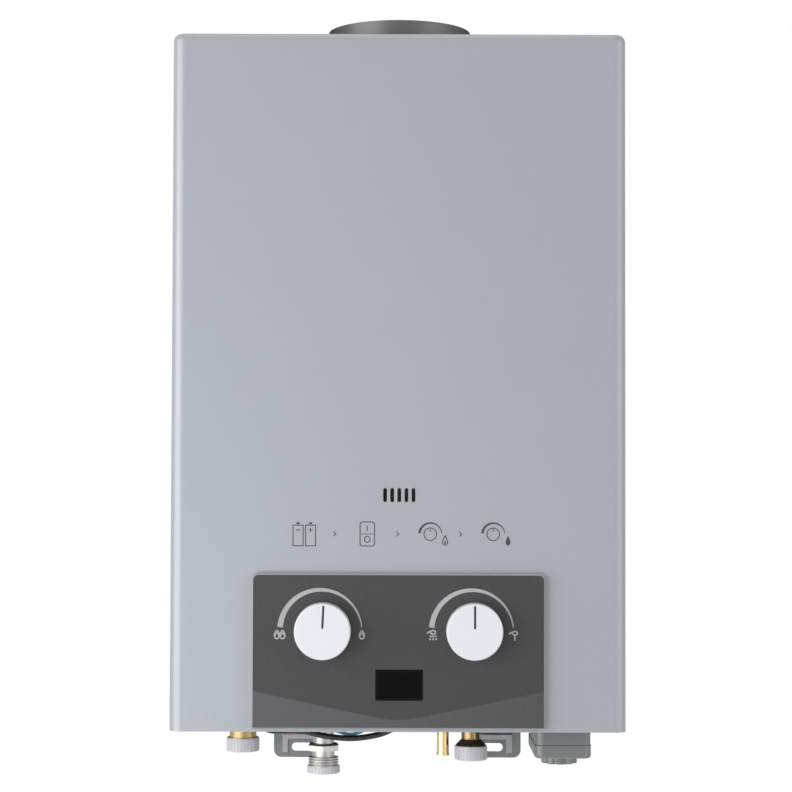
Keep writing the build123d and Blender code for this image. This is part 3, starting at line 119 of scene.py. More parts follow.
class HeaterColours(bpy.types.PropertyGroup):
    """Colours of the finishes and inks."""

    paint: colour("Paint", "Stoved paint of the case", (0.385, 0.405, 0.44))
    zinc: colour("Zinc", "Zinc-coated sheet of the chassis", (0.165, 0.173, 0.178))
    flue: colour("Flue", "Rolled steel of the flue collar", (0.121, 0.1245, 0.1265))
    brass: colour("Brass", "Machined brass", (0.65, 0.49, 0.25))
    nickel: colour("Nickel", "Nickel plating of the gas fitting", (0.41, 0.402, 0.392))
    copper: colour("Copper", "Water pipes and heat exchanger", (0.72, 0.36, 0.23))
    film: colour("Film", "Upper field of the printed panel film", (0.042, 0.042, 0.045))
    band_left: colour("Band left", "Lower band of the film, left end", (0.099, 0.099, 0.106))
    band_right: colour("Band right", "Lower band of the film, right end", (0.069, 0.069, 0.072))
    rim: colour("Rim", "Lacquered panel moulding", (0.33, 0.345, 0.37))
    window: colour("Window", "Smoked display window", (0.0035, 0.0035, 0.0035))
    knob: colour("Knob", "White knob moulding", (0.83, 0.84, 0.885))
    pointer: colour("Pointer", "Dark pointer line", (0.026, 0.027, 0.036))
    cap: colour("Cap", "Natural plastic of the screw caps", (0.74, 0.74, 0.78))
    battery: colour("Battery box", "Grey moulding of the battery box", (0.185, 0.196, 0.199))
    pale_ink: colour("Pale ink", "Print on the panel film", (0.45, 0.45, 0.455))
    dark_ink: colour("Dark ink", "Print on the case", (0.045, 0.047, 0.052))
    black_lead: colour("Black lead", "Sheath of the main lead", (0.012, 0.012, 0.014))
    blue_lead: colour("Blue lead", "Insulation of the blue lead", (0.15, 0.38, 0.60))
    red_lead: colour("Red lead", "Insulation of the red lead", (0.36, 0.07, 0.075))


class PrintSizes(bpy.types.PropertyGroup):
    """Sizes of the printed marks."""

    ink: length("Ink", "Thickness of the printed ink", 0.05 * MM)
    layer: length("Layer", "Extra thickness of each mark over the last one", 0.002 * MM)
    arc_radius: length("Arc radius", "Outer radius of the tapering arcs", 28.3 * MM)
    arc_start_width: length("Arc width, left", "Arc width at nine o'clock", 3.7 * MM)
    arc_top_width: length("Arc width, top", "Arc width at twelve o'clock", 2.35 * MM)
    arc_end_width: length("Arc width, right", "Arc width at three o'clock", 0.75 * MM)
    arc_left: length("Arc shift", "Arc centres to the left of the knob axes", 1.95 * MM)
    arc_drop: length("Arc drop", "Arc centres below the knob axes", 0.2 * MM)
    icon_height: length("Icon height", "Height of the marks beside the arcs", 6.4 * MM)
    icon_line: length("Icon line", "Line width of the marks beside the arcs", 0.95 * MM)
    icon_reach: length("Icon reach", "Icon centres out from the arc centres", 26.6 * MM)
    icon_drop: length("Icon drop", "Icon centres below the arc centres", 2.6 * MM)
    sign_height: length("Sign height", "Height of the picture signs on the case", 16.0 * MM)
    sign_line: length("Sign line", "Line width of the picture signs", 0.65 * MM)
    sign_pitch: length("Sign pitch", "Picture signs from one to the next", 42.0 * MM)
    sign_rise: length("Sign rise", "Picture signs above the panel's upper edge", 26.0 * MM)
    switch_mark: length("Switch mark", "Length of the marks on the rocker", 3.6 * MM)
    switch_line: length("Switch line", "Line width of the marks on the rocker", 0.6 * MM)


class StudioSettings(bpy.types.PropertyGroup):
    """Camera, lamps and floor."""

    camera_place: FloatVectorProperty(
        name="Camera place", description="Where the camera stands",
        default=(-1.7 * MM, -1563 * MM, 176.3 * MM), size=3, subtype="TRANSLATION", unit="LENGTH")
    camera_pitch: angle("Camera pitch", "Upward tilt of the camera", 1.906)
    camera_roll: angle("Camera roll", "Anticlockwise roll of the camera", 0.17)
    lens: FloatProperty(name="Lens", description="Focal length", default=96.8, min=1.0,
                        subtype="DISTANCE_CAMERA", unit="CAMERA")
    floor_drop: length("Floor drop", "Floor below the heater's lower edge", 1.6)
    floor_radius: length("Floor radius", "Radius of the round floor", 7.0)
    ambient: FloatProperty(name="Ambient", description="Strength of the even light from all round",
                           default=0.32, min=0.0)
    key_power: FloatProperty(name="Key power", description="Large lamp on the left",
                             default=30.0, min=0.0, subtype="POWER", unit="POWER")
    fill_power: FloatProperty(name="Fill power", description="Large lamp on the right",
                              default=11.0, min=0.0, subtype="POWER", unit="POWER")
    top_power: FloatProperty(name="Top power", description="Lamp over the case",
                             default=5.0, min=0.0, subtype="POWER", unit="POWER")
    front_power: FloatProperty(name="Front power", description="Lamp low before the case, to the left",
                               default=6.0, min=0.0, subtype="POWER", unit="POWER")


class Field:
    """A value that changes over a surface; sums and products of fields add Math nodes."""

    def __init__(self, graph, socket):
        self.graph = graph
        self.socket = socket

    def maths(self, operation, *terms, clamp=False):
        """Adds a Math node on these terms."""
        settings = {"operation": operation, "use_clamp": clamp}
        return self.graph.node("ShaderNodeMath", settings, dict(enumerate(terms)))

    def __add__(self, other):
        return self.maths("ADD", self, other)

    def __radd__(self, other):
        return self.maths("ADD", other, self)

    def __sub__(self, other):
        return self.maths("SUBTRACT", self, other)

    def __rsub__(self, other):
        return self.maths("SUBTRACT", other, self)

    def __mul__(self, other):
        return self.maths("MULTIPLY", self, other)

    def __rmul__(self, other):
        return self.maths("MULTIPLY", other, self)

    def __truediv__(self, other):
        return self.maths("DIVIDE", self, other)

    def __rtruediv__(self, other):
        return self.maths("DIVIDE", other, self)

    def __pow__(self, other):
        return self.maths("POWER", self, other)

    def __rpow__(self, other):
        return self.maths("POWER", other, self)

    def __abs__(self):
        return self.maths("ABSOLUTE", self)

    def above(self, level, fade):
        """0 well below a level, 1 well above it, with a straight fade between."""
        return self.maths("MULTIPLY_ADD", self, 1 / fade, 0.5 - level / fade, clamp=True)

    def least(self, other):
        """The smaller of two values at each point."""
        return self.maths("MINIMUM", self, other)


class Graph:
    """A node tree and the one call that its nodes are made with."""

    def __init__(self, tree):
        self.tree = tree
        self.tree.nodes.clear()

    def node(self, kind, settings=None, inputs=None, output=0):
        """Adds a node: its settings first, then the values or links of its sockets."""
        made = self.tree.nodes.new(kind)
        for key, value in (settings or {}).items():
            setattr(made, key, value)
        for key, value in (inputs or {}).items():
            self.feed(made.inputs[key], value)
        return Field(self, made.outputs[output]) if made.outputs else made

    def feed(self, socket, value):
        """Links a field to a socket, or sets a plain value on it."""
        if isinstance(value, Field):
            self.tree.links.new(value.socket, socket)
        else:
            socket.default_value = value


class Finish(Graph):
    """A material with one principled shader and textures in the part's own metres."""

    def __init__(self, name):
        self.material = bpy.data.materials.new(name)
        self.material.use_nodes = True
        super().__init__(self.material.node_tree)
        self.place = self.node("ShaderNodeTexCoord", output="Object")

    def axes(self):
        """The X, Y and Z of a point as three fields."""
        split = self.node("ShaderNodeSeparateXYZ", None, {0: self.place}).socket.node
        return [Field(self, socket) for socket in split.outputs]

    def scaled(self, size, stretch):
        """Texture place for features of this size."""
        scale = [part / size for part in stretch]
        return self.node("ShaderNodeVectorMath", {"operation": "MULTIPLY"}, {0: self.place, 1: scale})

    def noise(self, size, detail=2.0, stretch=(1, 1, 1)):
        """Cloudy noise with features of about this size; a stretch above 1 tightens an axis."""
        place = self.scaled(size, stretch)
        return self.node("ShaderNodeTexNoise", None, {"Vector": place, "Scale": 1.0, "Detail": detail})

    def grains(self, size, stretch=(1, 1, 1)):
        """A random value for each grain of about this size."""
        place = self.scaled(size, stretch)
        shade = self.node("ShaderNodeTexVoronoi", None, {"Vector": place, "Scale": 1.0}, "Color")
        return self.node("ShaderNodeSeparateColor", None, {0: shade})

    def tint(self, factor, first, second):
        """Goes from the first colour at 0 to the second at 1."""
        colours = [value if isinstance(value, Field) else (*value[:3], 1.0) for value in (first, second)]
        inputs = {0: factor, 6: colours[0], 7: colours[1]}
        return self.node("ShaderNodeMix", {"data_type": "RGBA"}, inputs, 2)

    def shades(self, factor, base, spread):
        """A colour and its darker and lighter neighbours, from 0 to 1."""
        darker = [part * (1 - spread) for part in base]
        lighter = [min(part * (1 + spread), 1.0) for part in base]
        return self.tint(factor, darker, lighter)

    def bump(self, height, depth):
        """Surface relief of this depth."""
        return self.node("ShaderNodeBump", None, {"Strength": 1.0, "Distance": depth, "Height": height})

    def surface(self, **sockets):
        """Sets the shader's sockets and ends the material."""
        inputs = {key.replace("_", " "): value for key, value in sockets.items()}
        shader = self.node("ShaderNodeBsdfPrincipled", None, inputs)
        self.node("ShaderNodeOutputMaterial", None, {"Surface": shader})
        return self.material


# Finishes, one function each


def stoved_paint(colours):
    """Silver-grey stoved paint: fine flake, slight orange peel, thin clear coat."""
    paint = Finish("stoved_paint")
    flake = paint.grains(0.32 * MM)
    cloud = paint.noise(70 * MM, 3.0)
    peel = paint.noise(1.6 * MM, 1.0)
    tone = 0.7 * flake + 0.3 * cloud
    return paint.surface(Base_Color=paint.shades(tone, colours.paint, 0.05), Metallic=0.25,
                         Roughness=0.36 + 0.1 * flake, Coat_Weight=0.12, Coat_Roughness=0.3,
                         Normal=paint.bump(peel, 0.012 * MM))


def zinc_sheet(colours):
    """Zinc-coated sheet with its spangle and faint rolling lines, and a painted highlight on the tabs'
    beads.
    """
    sheet = Finish("zinc_sheet")
    _, y, z = sheet.axes()
    bead_rise = 1.6 * MM
    tab_top = -14 * MM
    spangle = sheet.grains(7 * MM)
    small = sheet.grains(2.3 * MM)
    rolled = sheet.noise(0.7 * MM, 2.0, (1, 1, 0.02))
    tone = 0.5 * spangle + 0.2 * small + 0.3 * rolled
    # Painted highlight: the tabs' raised beads are coloured up to 2.1 times paler, standing in for light
    # caught on their slopes.
    bead_highlight_mask = (WALL_Y - y).above(bead_rise, 0.5 * MM) * (1 - z.above(tab_top, 1 * MM))
    painted_highlight_colour = [min(part * 2.1, 1.0) for part in colours.zinc]
    plain = sheet.shades(tone, colours.zinc, 0.3)
    base_with_painted_highlight = sheet.tint(bead_highlight_mask * (0.5 + 0.5 * rolled), plain, painted_highlight_colour)
    return sheet.surface(Base_Color=base_with_painted_highlight, Metallic=0.85, Roughness=0.34 + 0.2 * tone,
                         Normal=sheet.bump(tone, 0.012 * MM))


def flue_steel(colours):
    """Rolled steel, brushed round the collar, with a painted dark reflection where it turns away."""
    steel = Finish("flue_steel")
    brush = steel.noise(0.5 * MM, 2.0, (0.03, 0.03, 1))
    cloud = steel.noise(22 * MM, 2.0)
    tone = 0.6 * brush + 0.4 * cloud
    # Painted dark reflection: a dark specular tint darkens the collar where it turns away, standing in
    # for dark surroundings.
    dark_edge_reflection_tint = (0.2, 0.2, 0.2, 1.0)
    return steel.surface(Base_Color=steel.shades(tone, colours.flue, 0.22), Metallic=0.85,
                         Specular_Tint=dark_edge_reflection_tint, Roughness=0.34 + 0.16 * brush,
                         Normal=steel.bump(brush, 0.01 * MM))


def zinc_plate(colours):
    """Bright zinc plating with a faint yellow and blue bloom."""
    plate = Finish("zinc_plate")
    bloom = plate.noise(2.5 * MM, 2.0)
    scratch = plate.grains(0.3 * MM)
    return plate.surface(Base_Color=plate.tint(bloom, (0.56, 0.60, 0.66), (0.66, 0.62, 0.50)),
                         Metallic=1.0, Roughness=0.24 + 0.16 * scratch)


def copper_pipe(colours):
    """Drawn copper with darker tarnished patches."""
    copper = Finish("copper_pipe")
    patch = copper.noise(11 * MM, 4.0).above(0.52, 0.3)
    drawn = copper.noise(0.8 * MM, 2.0)
    tarnish = [part * 0.45 for part in colours.copper]
    return copper.surface(Base_Color=copper.tint(patch, colours.copper, tarnish), Metallic=1.0,
                          Roughness=0.22 + 0.12 * drawn + 0.2 * patch)


def burner_steel(colours):
    """Stainless pressing, blued and browned by heat towards the flame slots."""
    steel = Finish("burner_steel")
    height = steel.axes()[2]
    cloud = steel.noise(9 * MM, 3.0)
    span = BARS_HIGH.z - BARS_LOW.z
    heat = (height - BARS_LOW.z) / span + 0.3 * cloud
    straw = steel.tint(heat.above(0.75, 0.3), (0.46, 0.45, 0.43), (0.42, 0.30, 0.17))
    blued = steel.tint(heat.above(1.05, 0.2), straw, (0.16, 0.17, 0.26))
    return steel.surface(Base_Color=blued, Metallic=1.0, Roughness=0.3 + 0.15 * cloud)


def cast_aluminium(colours):
    """Die casting with a matt, slightly pitted skin."""
    casting = Finish("cast_aluminium")
    skin = casting.noise(0.9 * MM, 3.0)
    cloud = casting.noise(14 * MM, 2.0)
    return casting.surface(Base_Color=casting.shades(cloud, (0.50, 0.51, 0.52), 0.12), Metallic=0.85,
                           Roughness=0.42 + 0.16 * skin, Normal=casting.bump(skin, 0.06 * MM))


def machined(name, base, spread, turned, dulled):
    """Turned metal with fine tool rings round its upright axis and duller patches."""
    metal = Finish(name)
    rings = metal.noise(0.22 * MM, 1.0, (0.02, 0.02, 1))
    patch = metal.noise(6 * MM, 3.0)
    tone = 0.35 * rings + 0.65 * patch
    return metal.surface(Base_Color=metal.shades(tone, base, spread), Metallic=1.0,
                         Roughness=turned + 0.1 * rings + dulled * patch,
                         Normal=metal.bump(rings, 0.008 * MM))


def machined_brass(colours):
    """Brass of the water connections."""
    return machined("machined_brass", colours.brass, 0.2, 0.18, 0.12)


def dull_brass(colours):
    """Brass of the hot outlet, its turning dulled by handling and heat, its colour darkened as painted
    shade under the case.
    """
    # Painted shade: the brass colour is darkened to 0.6, standing in for the shade under the case.
    return machined("dull_brass", [part * 0.6 for part in colours.brass], 0.3, 0.24, 0.2)


def sealed_brass(colours):
    """Brass darkened as painted shade under the case, with a dark, patchy painted-shade band round the
    shoulder over the cap.
    """
    brass = Finish("sealed_brass")
    height = brass.axes()[2]
    rings = brass.noise(0.22 * MM, 1.0, (0.02, 0.02, 1))
    patch = brass.noise(3 * MM, 3.0)
    # Painted shade: a dark, patchy band round the shoulder over the cap stands in for the shade under
    # the case.
    shade_band_rise = 4.9 * MM
    ragged = 1.6 * MM
    wander = height - CAP_RIM + ragged * (patch - 0.5)
    shoulder = 1 - wander.above(shade_band_rise, 1.4 * MM)
    shade_patches = brass.noise(2.4 * MM, 2.0).above(0.42, 0.22)
    patchy_mask = shoulder * (0.6 + 0.4 * shade_patches)
    tone = 0.35 * rings + 0.65 * patch
    # Painted shade: the brass colour is darkened to 0.40, standing in for the shade under the case.
    base = brass.shades(tone, [part * 0.40 for part in colours.brass], 0.25)
    painted_shade_band_colour = (0.030, 0.020, 0.008)
    return brass.surface(Base_Color=brass.tint(0.92 * patchy_mask, base, painted_shade_band_colour),
                         Metallic=1.0 - 0.6 * patchy_mask, Roughness=0.2 + 0.1 * rings + 0.2 * patchy_mask)


def nickel_plate(colours):
    """Nickel plating over turned brass."""
    return machined("nickel_plate", colours.nickel, 0.1, 0.3, 0.12)


def ground_steel(colours):
    """Ground rod with fine lines along it."""
    steel = Finish("ground_steel")
    lines = steel.noise(0.4 * MM, 2.0, (1, 0.03, 1))
    return steel.surface(Base_Color=steel.shades(lines, (0.50, 0.50, 0.51), 0.15), Metallic=1.0,
                         Roughness=0.22 + 0.14 * lines)


def spring_contact(colours):
    """Nickel-plated spring strip."""
    strip = Finish("spring_contact")
    rolled = strip.noise(0.35 * MM, 2.0, (0.03, 1, 1))
    return strip.surface(Base_Color=strip.shades(rolled, (0.64, 0.62, 0.58), 0.1), Metallic=1.0,
                         Roughness=0.2 + 0.16 * rolled)


def moulded(name, base, gloss, grain, spread=0.06, relief=0.03, **sockets):
    """Moulded plastic with an eroded grain and slight flow marks."""
    plastic = Finish(name)
    skin = plastic.noise(grain, 2.0)
    flow = plastic.noise(25 * MM, 3.0)
    tone = 0.55 * skin + 0.45 * flow
    return plastic.surface(Base_Color=plastic.shades(tone, base, spread), Roughness=gloss + 0.12 * skin,
                           Normal=plastic.bump(skin, relief * MM), **sockets)


def black_plastic(colours):
    """Black switch and solenoid mouldings."""
    return moulded("black_plastic", (0.022, 0.022, 0.024), 0.38, 0.35 * MM, 0.15)


def controller_case(colours):
    """Dark grey case of the ignition controller."""
    return moulded("controller_case", (0.055, 0.056, 0.06), 0.42, 0.5 * MM, 0.12)


def soft_rubber(colours):
    """Black rubber with a dusty bloom."""
    return moulded("soft_rubber", (0.020, 0.020, 0.020), 0.6, 0.8 * MM, 0.3)


def cap_plastic(colours):
    """Natural polyethylene with a satin skin."""
    return moulded("cap_plastic", colours.cap, 0.34, 0.6 * MM, 0.04, 0.012)


def knob_plastic(colours):
    """White knob moulding, semi-gloss."""
    return moulded("knob_plastic", colours.knob, 0.26, 0.45 * MM, 0.015, 0.006)


def pointer_ink(colours):
    """Dark filled pointer line."""
    return moulded("pointer_ink", colours.pointer, 0.4, 0.3 * MM, 0.12)


def battery_plastic(colours):
    """Grey battery-box moulding with a fine eroded grain."""
    return moulded("battery_plastic", colours.battery, 0.34, 0.28 * MM, 0.07, 0.02,
                   Coat_Weight=0.5, Coat_Roughness=0.22)


def panel_lacquer(colours):
    """Silver lacquer on the panel moulding."""
    lacquer = Finish("panel_lacquer")
    flake = lacquer.grains(0.25 * MM)
    return lacquer.surface(Base_Color=lacquer.shades(flake, colours.rim, 0.06), Metallic=0.1,
                           Roughness=0.45 + 0.12 * flake)


def panel_film(colours):
    """Printed film: a dark brushed field over a paler band whose edge dips to a rounded valley."""
    film = Finish("panel_film")
    x, _, z = film.axes()
    centre = (FILM_LOW.x + FILM_HIGH.x) / 2
    half = (FILM_HIGH.x - FILM_LOW.x) / 2
    along = (x - centre) / half
    bend = 10.2 * MM
    valley_height = 5.2 * MM
    slope = 0.2175
    valley = ((x - centre) * (x - centre) + bend * bend) ** 0.5 - bend
    edge = FILM_LOW.z + valley_height + slope * valley
    band = (edge - z).above(0.0, 0.5 * MM)
    brushed = film.noise(0.5 * MM, 2.0, (0.25, 1, 1))
    speck = film.grains(0.4 * MM)
    tone = 0.6 * brushed + 0.4 * speck
    low_band = film.tint(0.5 * along + 0.5, colours.band_left, colours.band_right)
    flat = film.tint(band, colours.film, low_band)
    darker = film.tint(0.16, flat, (0, 0, 0))
    lighter = film.tint(0.035, flat, (1, 1, 1))
    return film.surface(Base_Color=film.tint(tone, darker, lighter), Roughness=0.42 + 0.14 * tone,
                        Specular_IOR_Level=0.3, Normal=film.bump(tone, 0.006 * MM))


def smoked_window(colours):
    """Polished smoked window with a faint paler frame round the dark display."""
    window = Finish("smoked_window")
    x, _, z = window.axes()
    frame_width = 1.6 * MM
    centre = (WINDOW_LOW + WINDOW_HIGH) / 2
    reach = (WINDOW_HIGH - WINDOW_LOW) / 2
    inner = (reach.x - abs(x - centre.x)).least(reach.z - abs(z - centre.z))
    display = inner.above(frame_width, 0.2 * MM)
    patchy_mask = window.noise(9 * MM, 3.0)
    frame_tone = [part * 2.2 for part in colours.window]
    return window.surface(Base_Color=window.tint(display, frame_tone, colours.window),
                          Roughness=0.08 + 0.1 * patchy_mask, Specular_IOR_Level=0.05)


def circuit_board(colours):
    """Green lacquered board with paler tracks."""
    board = Finish("circuit_board")
    tracks = board.grains(2.2 * MM, (1, 1, 0.3)).above(0.55, 0.05)
    weave = board.noise(0.4 * MM, 1.0)
    return board.surface(Base_Color=board.tint(tracks, (0.020, 0.115, 0.045), (0.045, 0.19, 0.08)),
                         Roughness=0.3 + 0.12 * weave)


def ceramic_body(colours):
    """White electrode ceramic with small dark specks and soot near the flame."""
    body = Finish("ceramic_body")
    speck = body.grains(0.6 * MM).above(0.94, 0.03)
    soot = body.noise(7 * MM, 3.0).above(0.62, 0.2)
    pale = body.tint(soot, (0.80, 0.77, 0.71), (0.50, 0.44, 0.37))
    return body.surface(Base_Color=body.tint(speck, pale, (0.24, 0.2, 0.16)),
                        Roughness=0.4 + 0.2 * soot)


def cell_jacket(colours):
    """Plain printed steel jacket: dark body, pale band, bare metal ends."""
    jacket = Finish("cell_jacket")
    height = jacket.axes()[2]
    rise = (height - CELLS_LOW.z) / (CELLS_HIGH.z - CELLS_LOW.z)
    scuff = jacket.noise(5 * MM, 4.0)
    body = jacket.tint(rise.above(0.70, 0.004), (0.030, 0.034, 0.042), (0.50, 0.33, 0.13))
    ends = rise.above(0.965, 0.004) + 1 - rise.above(0.02, 0.004)
    return jacket.surface(Base_Color=jacket.tint(ends, body, (0.62, 0.61, 0.58)),
                          Metallic=0.35 + 0.6 * ends, Roughness=0.26 + 0.16 * scuff)


def sleeve(name, base):
    """Wire insulation with fine draw lines and a soft shine."""
    wire = Finish(name)
    lines = wire.noise(0.5 * MM, 2.0)
    dust = wire.noise(9 * MM, 3.0)
    tone = 0.5 * lines + 0.5 * dust
    return wire.surface(Base_Color=wire.shades(tone, base, 0.16), Roughness=0.38 + 0.16 * lines,
                        Normal=wire.bump(lines, 0.02 * MM))


def black_sleeve(colours):
    """Sheath of the main lead."""
    return sleeve("black_sleeve", colours.black_lead)


def blue_sleeve(colours):
    """Insulation of the blue lead."""
    return sleeve("blue_sleeve", colours.blue_lead)


def red_sleeve(colours):
    """Insulation of the red lead."""
    return sleeve("red_sleeve", colours.red_lead)


def screen_ink(name, base):
    """Screen-printed ink with the faint mesh of the screen."""
    ink = Finish(name)
    mesh = ink.grains(0.18 * MM)
    cloud = ink.noise(4 * MM, 2.0)
    tone = 0.5 * mesh + 0.5 * cloud
    return ink.surface(Base_Color=ink.shades(tone, base, 0.07), Roughness=0.5 + 0.15 * mesh)


SHEET_METAL = {
    "grey_paint": stoved_paint,
    "galvanised_sheet": zinc_sheet,
    "flue_steel": flue_steel,
    "zinc_screw": zinc_plate,
}
WATERWORKS = {
    "copper": copper_pipe,
    "burner_steel": burner_steel,
    "cast_aluminium": cast_aluminium,
    "brass": machined_brass,
    "nickel_plate": nickel_plate,
    "steel_rod": ground_steel,
    "rubber": soft_rubber,
    "ceramic": ceramic_body,
}
CONTROLS = {
    "panel_rim": panel_lacquer,
    "overlay_film": panel_film,
    "display_black": smoked_window,
    "circuit_board": circuit_board,
    "knob_white": knob_plastic,
    "pointer_dark": pointer_ink,
}
# Fittings whose brass colour holds painted shade.
FITTINGS_WITH_PAINTED_SHADE = {
    "cold_inlet_fitting": sealed_brass,
    "hot_outlet_fitting": dull_brass,
}
MOULDINGS = {
    "black_plastic": black_plastic,
    "controller_case": controller_case,
    "cap_plastic": cap_plastic,
    "battery_grey": battery_plastic,
    "cell_jacket": cell_jacket,
    "contact_metal": spring_contact,
}
LEADS = {
    "black_sleeve": black_sleeve,
    "blue_sleeve": blue_sleeve,
    "red_sleeve": red_sleeve,
}


def dress(finishes, colours):
    """Gives each part its finish by the record's material slots."""
    made = {slot: make(colours) for slot, make in finishes.items()}
    dressed = 0
    for part in frame["record"]["subparts"]:
        if part["material_slot"] in made:
            materials = frame["nodes"][part["node"]].data.materials
            materials.clear()
            materials.append(made[part["material_slot"]])
            dressed += 1
    if not dressed:
        raise RuntimeError(f"no part uses any of {sorted(made)}")


class PrintedMarks:
    """Flat printed shapes in a face's own X and Z, raised along its -Y to closed thin solids."""

    def __init__(self, face, sizes):
        self.face = face
        self.sizes = sizes
        self.mesh = bmesh.new()
        self.count = 0

    def raise_faces(self, faces):
        """Lifts a shape's faces off the printed face; each next shape is a touch thicker."""
        lift = self.sizes.ink + self.count * self.sizes.layer
        self.count += 1
        lifted = bmesh.ops.extrude_face_region(self.mesh, geom=faces)["geom"]
        corners = [part for part in lifted if isinstance(part, bmesh.types.BMVert)]
        bmesh.ops.translate(self.mesh, verts=corners, vec=self.face.to_3x3() @ Vector((0, -lift, 0)))

    def corner(self, point):
        """A mesh corner at a point of the printed face."""
        return self.mesh.verts.new(self.face @ Vector((point[0], 0, point[1])))

    def patch(self, outline):
        """A filled shape."""
        self.raise_faces([self.mesh.faces.new([self.corner(point) for point in outline])])

    def stroke(self, points, width, closed=False):
        """A line of one width, or of one width for each point."""
        points = [Vector(point) for point in points]
        widths = width if isinstance(width, list) else [width] * len(points)
        last = len(points) - 1
        rails = []
        for index, point in enumerate(points):
            before = points[index - 1] if index or closed else point
            after = points[(index + 1) % len(points)] if index < last or closed else point
            ways = [way.normalized() for way in (point - before, after - point) if way.length]
            across = sum(ways, Vector((0, 0))).normalized().orthogonal()
            mitre = max(abs(across.dot(ways[0].orthogonal())), 0.5)
            side = across * widths[index] / 2 / mitre
            rails.append((self.corner(point + side), self.corner(point - side)))
        pairs = list(zip(rails, rails[1:] + rails[:1])) if closed else list(zip(rails, rails[1:]))
        self.raise_faces([self.mesh.faces.new((a[0], a[1], b[1], b[0])) for a, b in pairs])

    def piece(self, name, material, body=BODY):
        """Ends the print as a piece that rides with a body."""
        bmesh.ops.recalc_face_normals(self.mesh, faces=self.mesh.faces)
        mesh = bpy.data.meshes.new(name)
        self.mesh.to_mesh(mesh)
        self.mesh.free()
        mesh.materials.append(material)
        made = bpy.data.objects.new(name, mesh)
        bpy.context.scene.collection.objects.link(made)
        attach(made, body)


def arc(centre, radius, start, end, steps=24):
    """Points along a circular arc, angles in degrees from the right, anticlockwise."""
    turns = [radians(start + (end - start) * step / steps) for step in range(steps + 1)]
    return [(centre[0] + radius * cos(turn), centre[1] + radius * sin(turn)) for turn in turns]


def drop_outline(centre, width, height, steps=28, sharpness=1.3):
    """A flame or water drop: round below, drawn to a point above."""
    fullness = 0.64
    outline = []
    for step in range(steps):
        turn = 2 * pi * step / steps
        swell = fullness * sin(turn) * sin(turn / 2) ** sharpness
        outline.append((centre[0] + width * swell, centre[1] + height / 2 * cos(turn)))
    return outline


def oblong(x, half, low, high):
    """Corners of an upright oblong about a middle line."""
    return [(x - half, low), (x + half, low), (x + half, high), (x - half, high)]


def tapered_arc(marks, centre, radius, widths):
    """An arc over the top, left to right, whose width runs through three values."""
    start, top, end = widths
    lift = radians(5)
    steps = 48
    points = []
    spans = []
    for step in range(steps + 1):
        share = step / steps
        if share < 0.5:
            width = start + (top - start) * 2 * share
        else:
            width = top + (end - top) * (2 * share - 1)
        turn = pi - lift - (pi - 2 * lift) * share
        reach = radius - width / 2
        points.append((centre[0] + reach * cos(turn), centre[1] + reach * sin(turn)))
        spans.append(width)
    marks.stroke(points, spans)


def flame_mark(marks, centre, height, line):
    """Outlined flame."""
    width = 0.58 * height
    marks.stroke(drop_outline(centre, width - line, height - 1.4 * line), line, closed=True)


def burner_flame(marks, centre, height, line):
    """Blunt flame with a smaller flame inside its lower half."""
    blunt = 0.5
    outer = (0.60 * height - line, height - line)
    inner = (0.36 * height, 0.60 * height)
    base = centre[1] - height / 2 + line / 2
    marks.stroke(drop_outline(centre, *outer, sharpness=blunt), line, closed=True)
    core = (centre[0], base + inner[1] / 2)
    marks.stroke(drop_outline(core, *inner, sharpness=blunt), 0.8 * line, closed=True)


def spray_mark(marks, centre, height, line, columns):
    """Round spray head on a bent arm: rows of drops, or one thin stream."""
    x, z = centre
    level = z + 0.28 * height

    def at(across, up):
        """A point in shares of the mark's height from the middle of the head."""
        return x + across * height, level + up * height

    turns = [2 * pi * step / 24 for step in range(24)]
    marks.stroke([at(0.26 * cos(turn), 0.19 * sin(turn)) for turn in turns], line, closed=True)
    marks.stroke([at(-0.24, 0.09), at(-0.44, 0.05), at(-0.62, -0.12)], line)
    if columns == 1:
        marks.stroke([at(0, -0.24), at(0, -0.78)], 0.9 * line)
        return
    half_drop = 0.09
    for fall, pitch in ((0.42, 0.25), (0.72, 0.31)):
        for column in range(columns):
            across = (column - (columns - 1) / 2) * pitch
            marks.stroke([at(across, half_drop - fall), at(across, -half_drop - fall)], 1.2 * line)


def cells_sign(marks, centre, height, line):
    """Two upright cells, one with a minus sign and one with a plus sign."""
    width = 0.42 * height
    spread = 0.62 * width
    low = centre[1] - height / 2
    high = centre[1] + 0.36 * height
    level = high - 0.2 * height
    for x in (centre[0] - spread, centre[0] + spread):
        marks.stroke(oblong(x, width / 2, low, high), line, closed=True)
        marks.patch(oblong(x, 0.16 * width, high + line, high + 0.12 * height))
        marks.stroke([(x - 0.22 * width, level), (x + 0.22 * width, level)], line)
    upright = centre[0] + spread
    marks.stroke([(upright, level + 0.09 * height), (upright, level - 0.09 * height)], line)


def rocker_sign(marks, centre, height, line):
    """Rocker switch with its bar and ring."""
    x, z = centre
    half = 0.3 * height
    corner = 0.1 * height
    outline = []
    for side_x, side_z, start in ((1, -1, 270), (1, 1, 0), (-1, 1, 90), (-1, -1, 180)):
        pivot = (x + side_x * (half - corner), z + side_z * (height / 2 - corner))
        outline += arc(pivot, corner, start, start + 90, 5)
    marks.stroke(outline, line, closed=True)
    marks.stroke([(x, z + 0.12 * height), (x, z + 0.34 * height)], line)
    marks.stroke(arc((x, z - 0.22 * height), 0.12 * height, 0, 345, 23), line, closed=True)
    marks.stroke([(x - half + line, z), (x + half - line, z)], 0.7 * line)


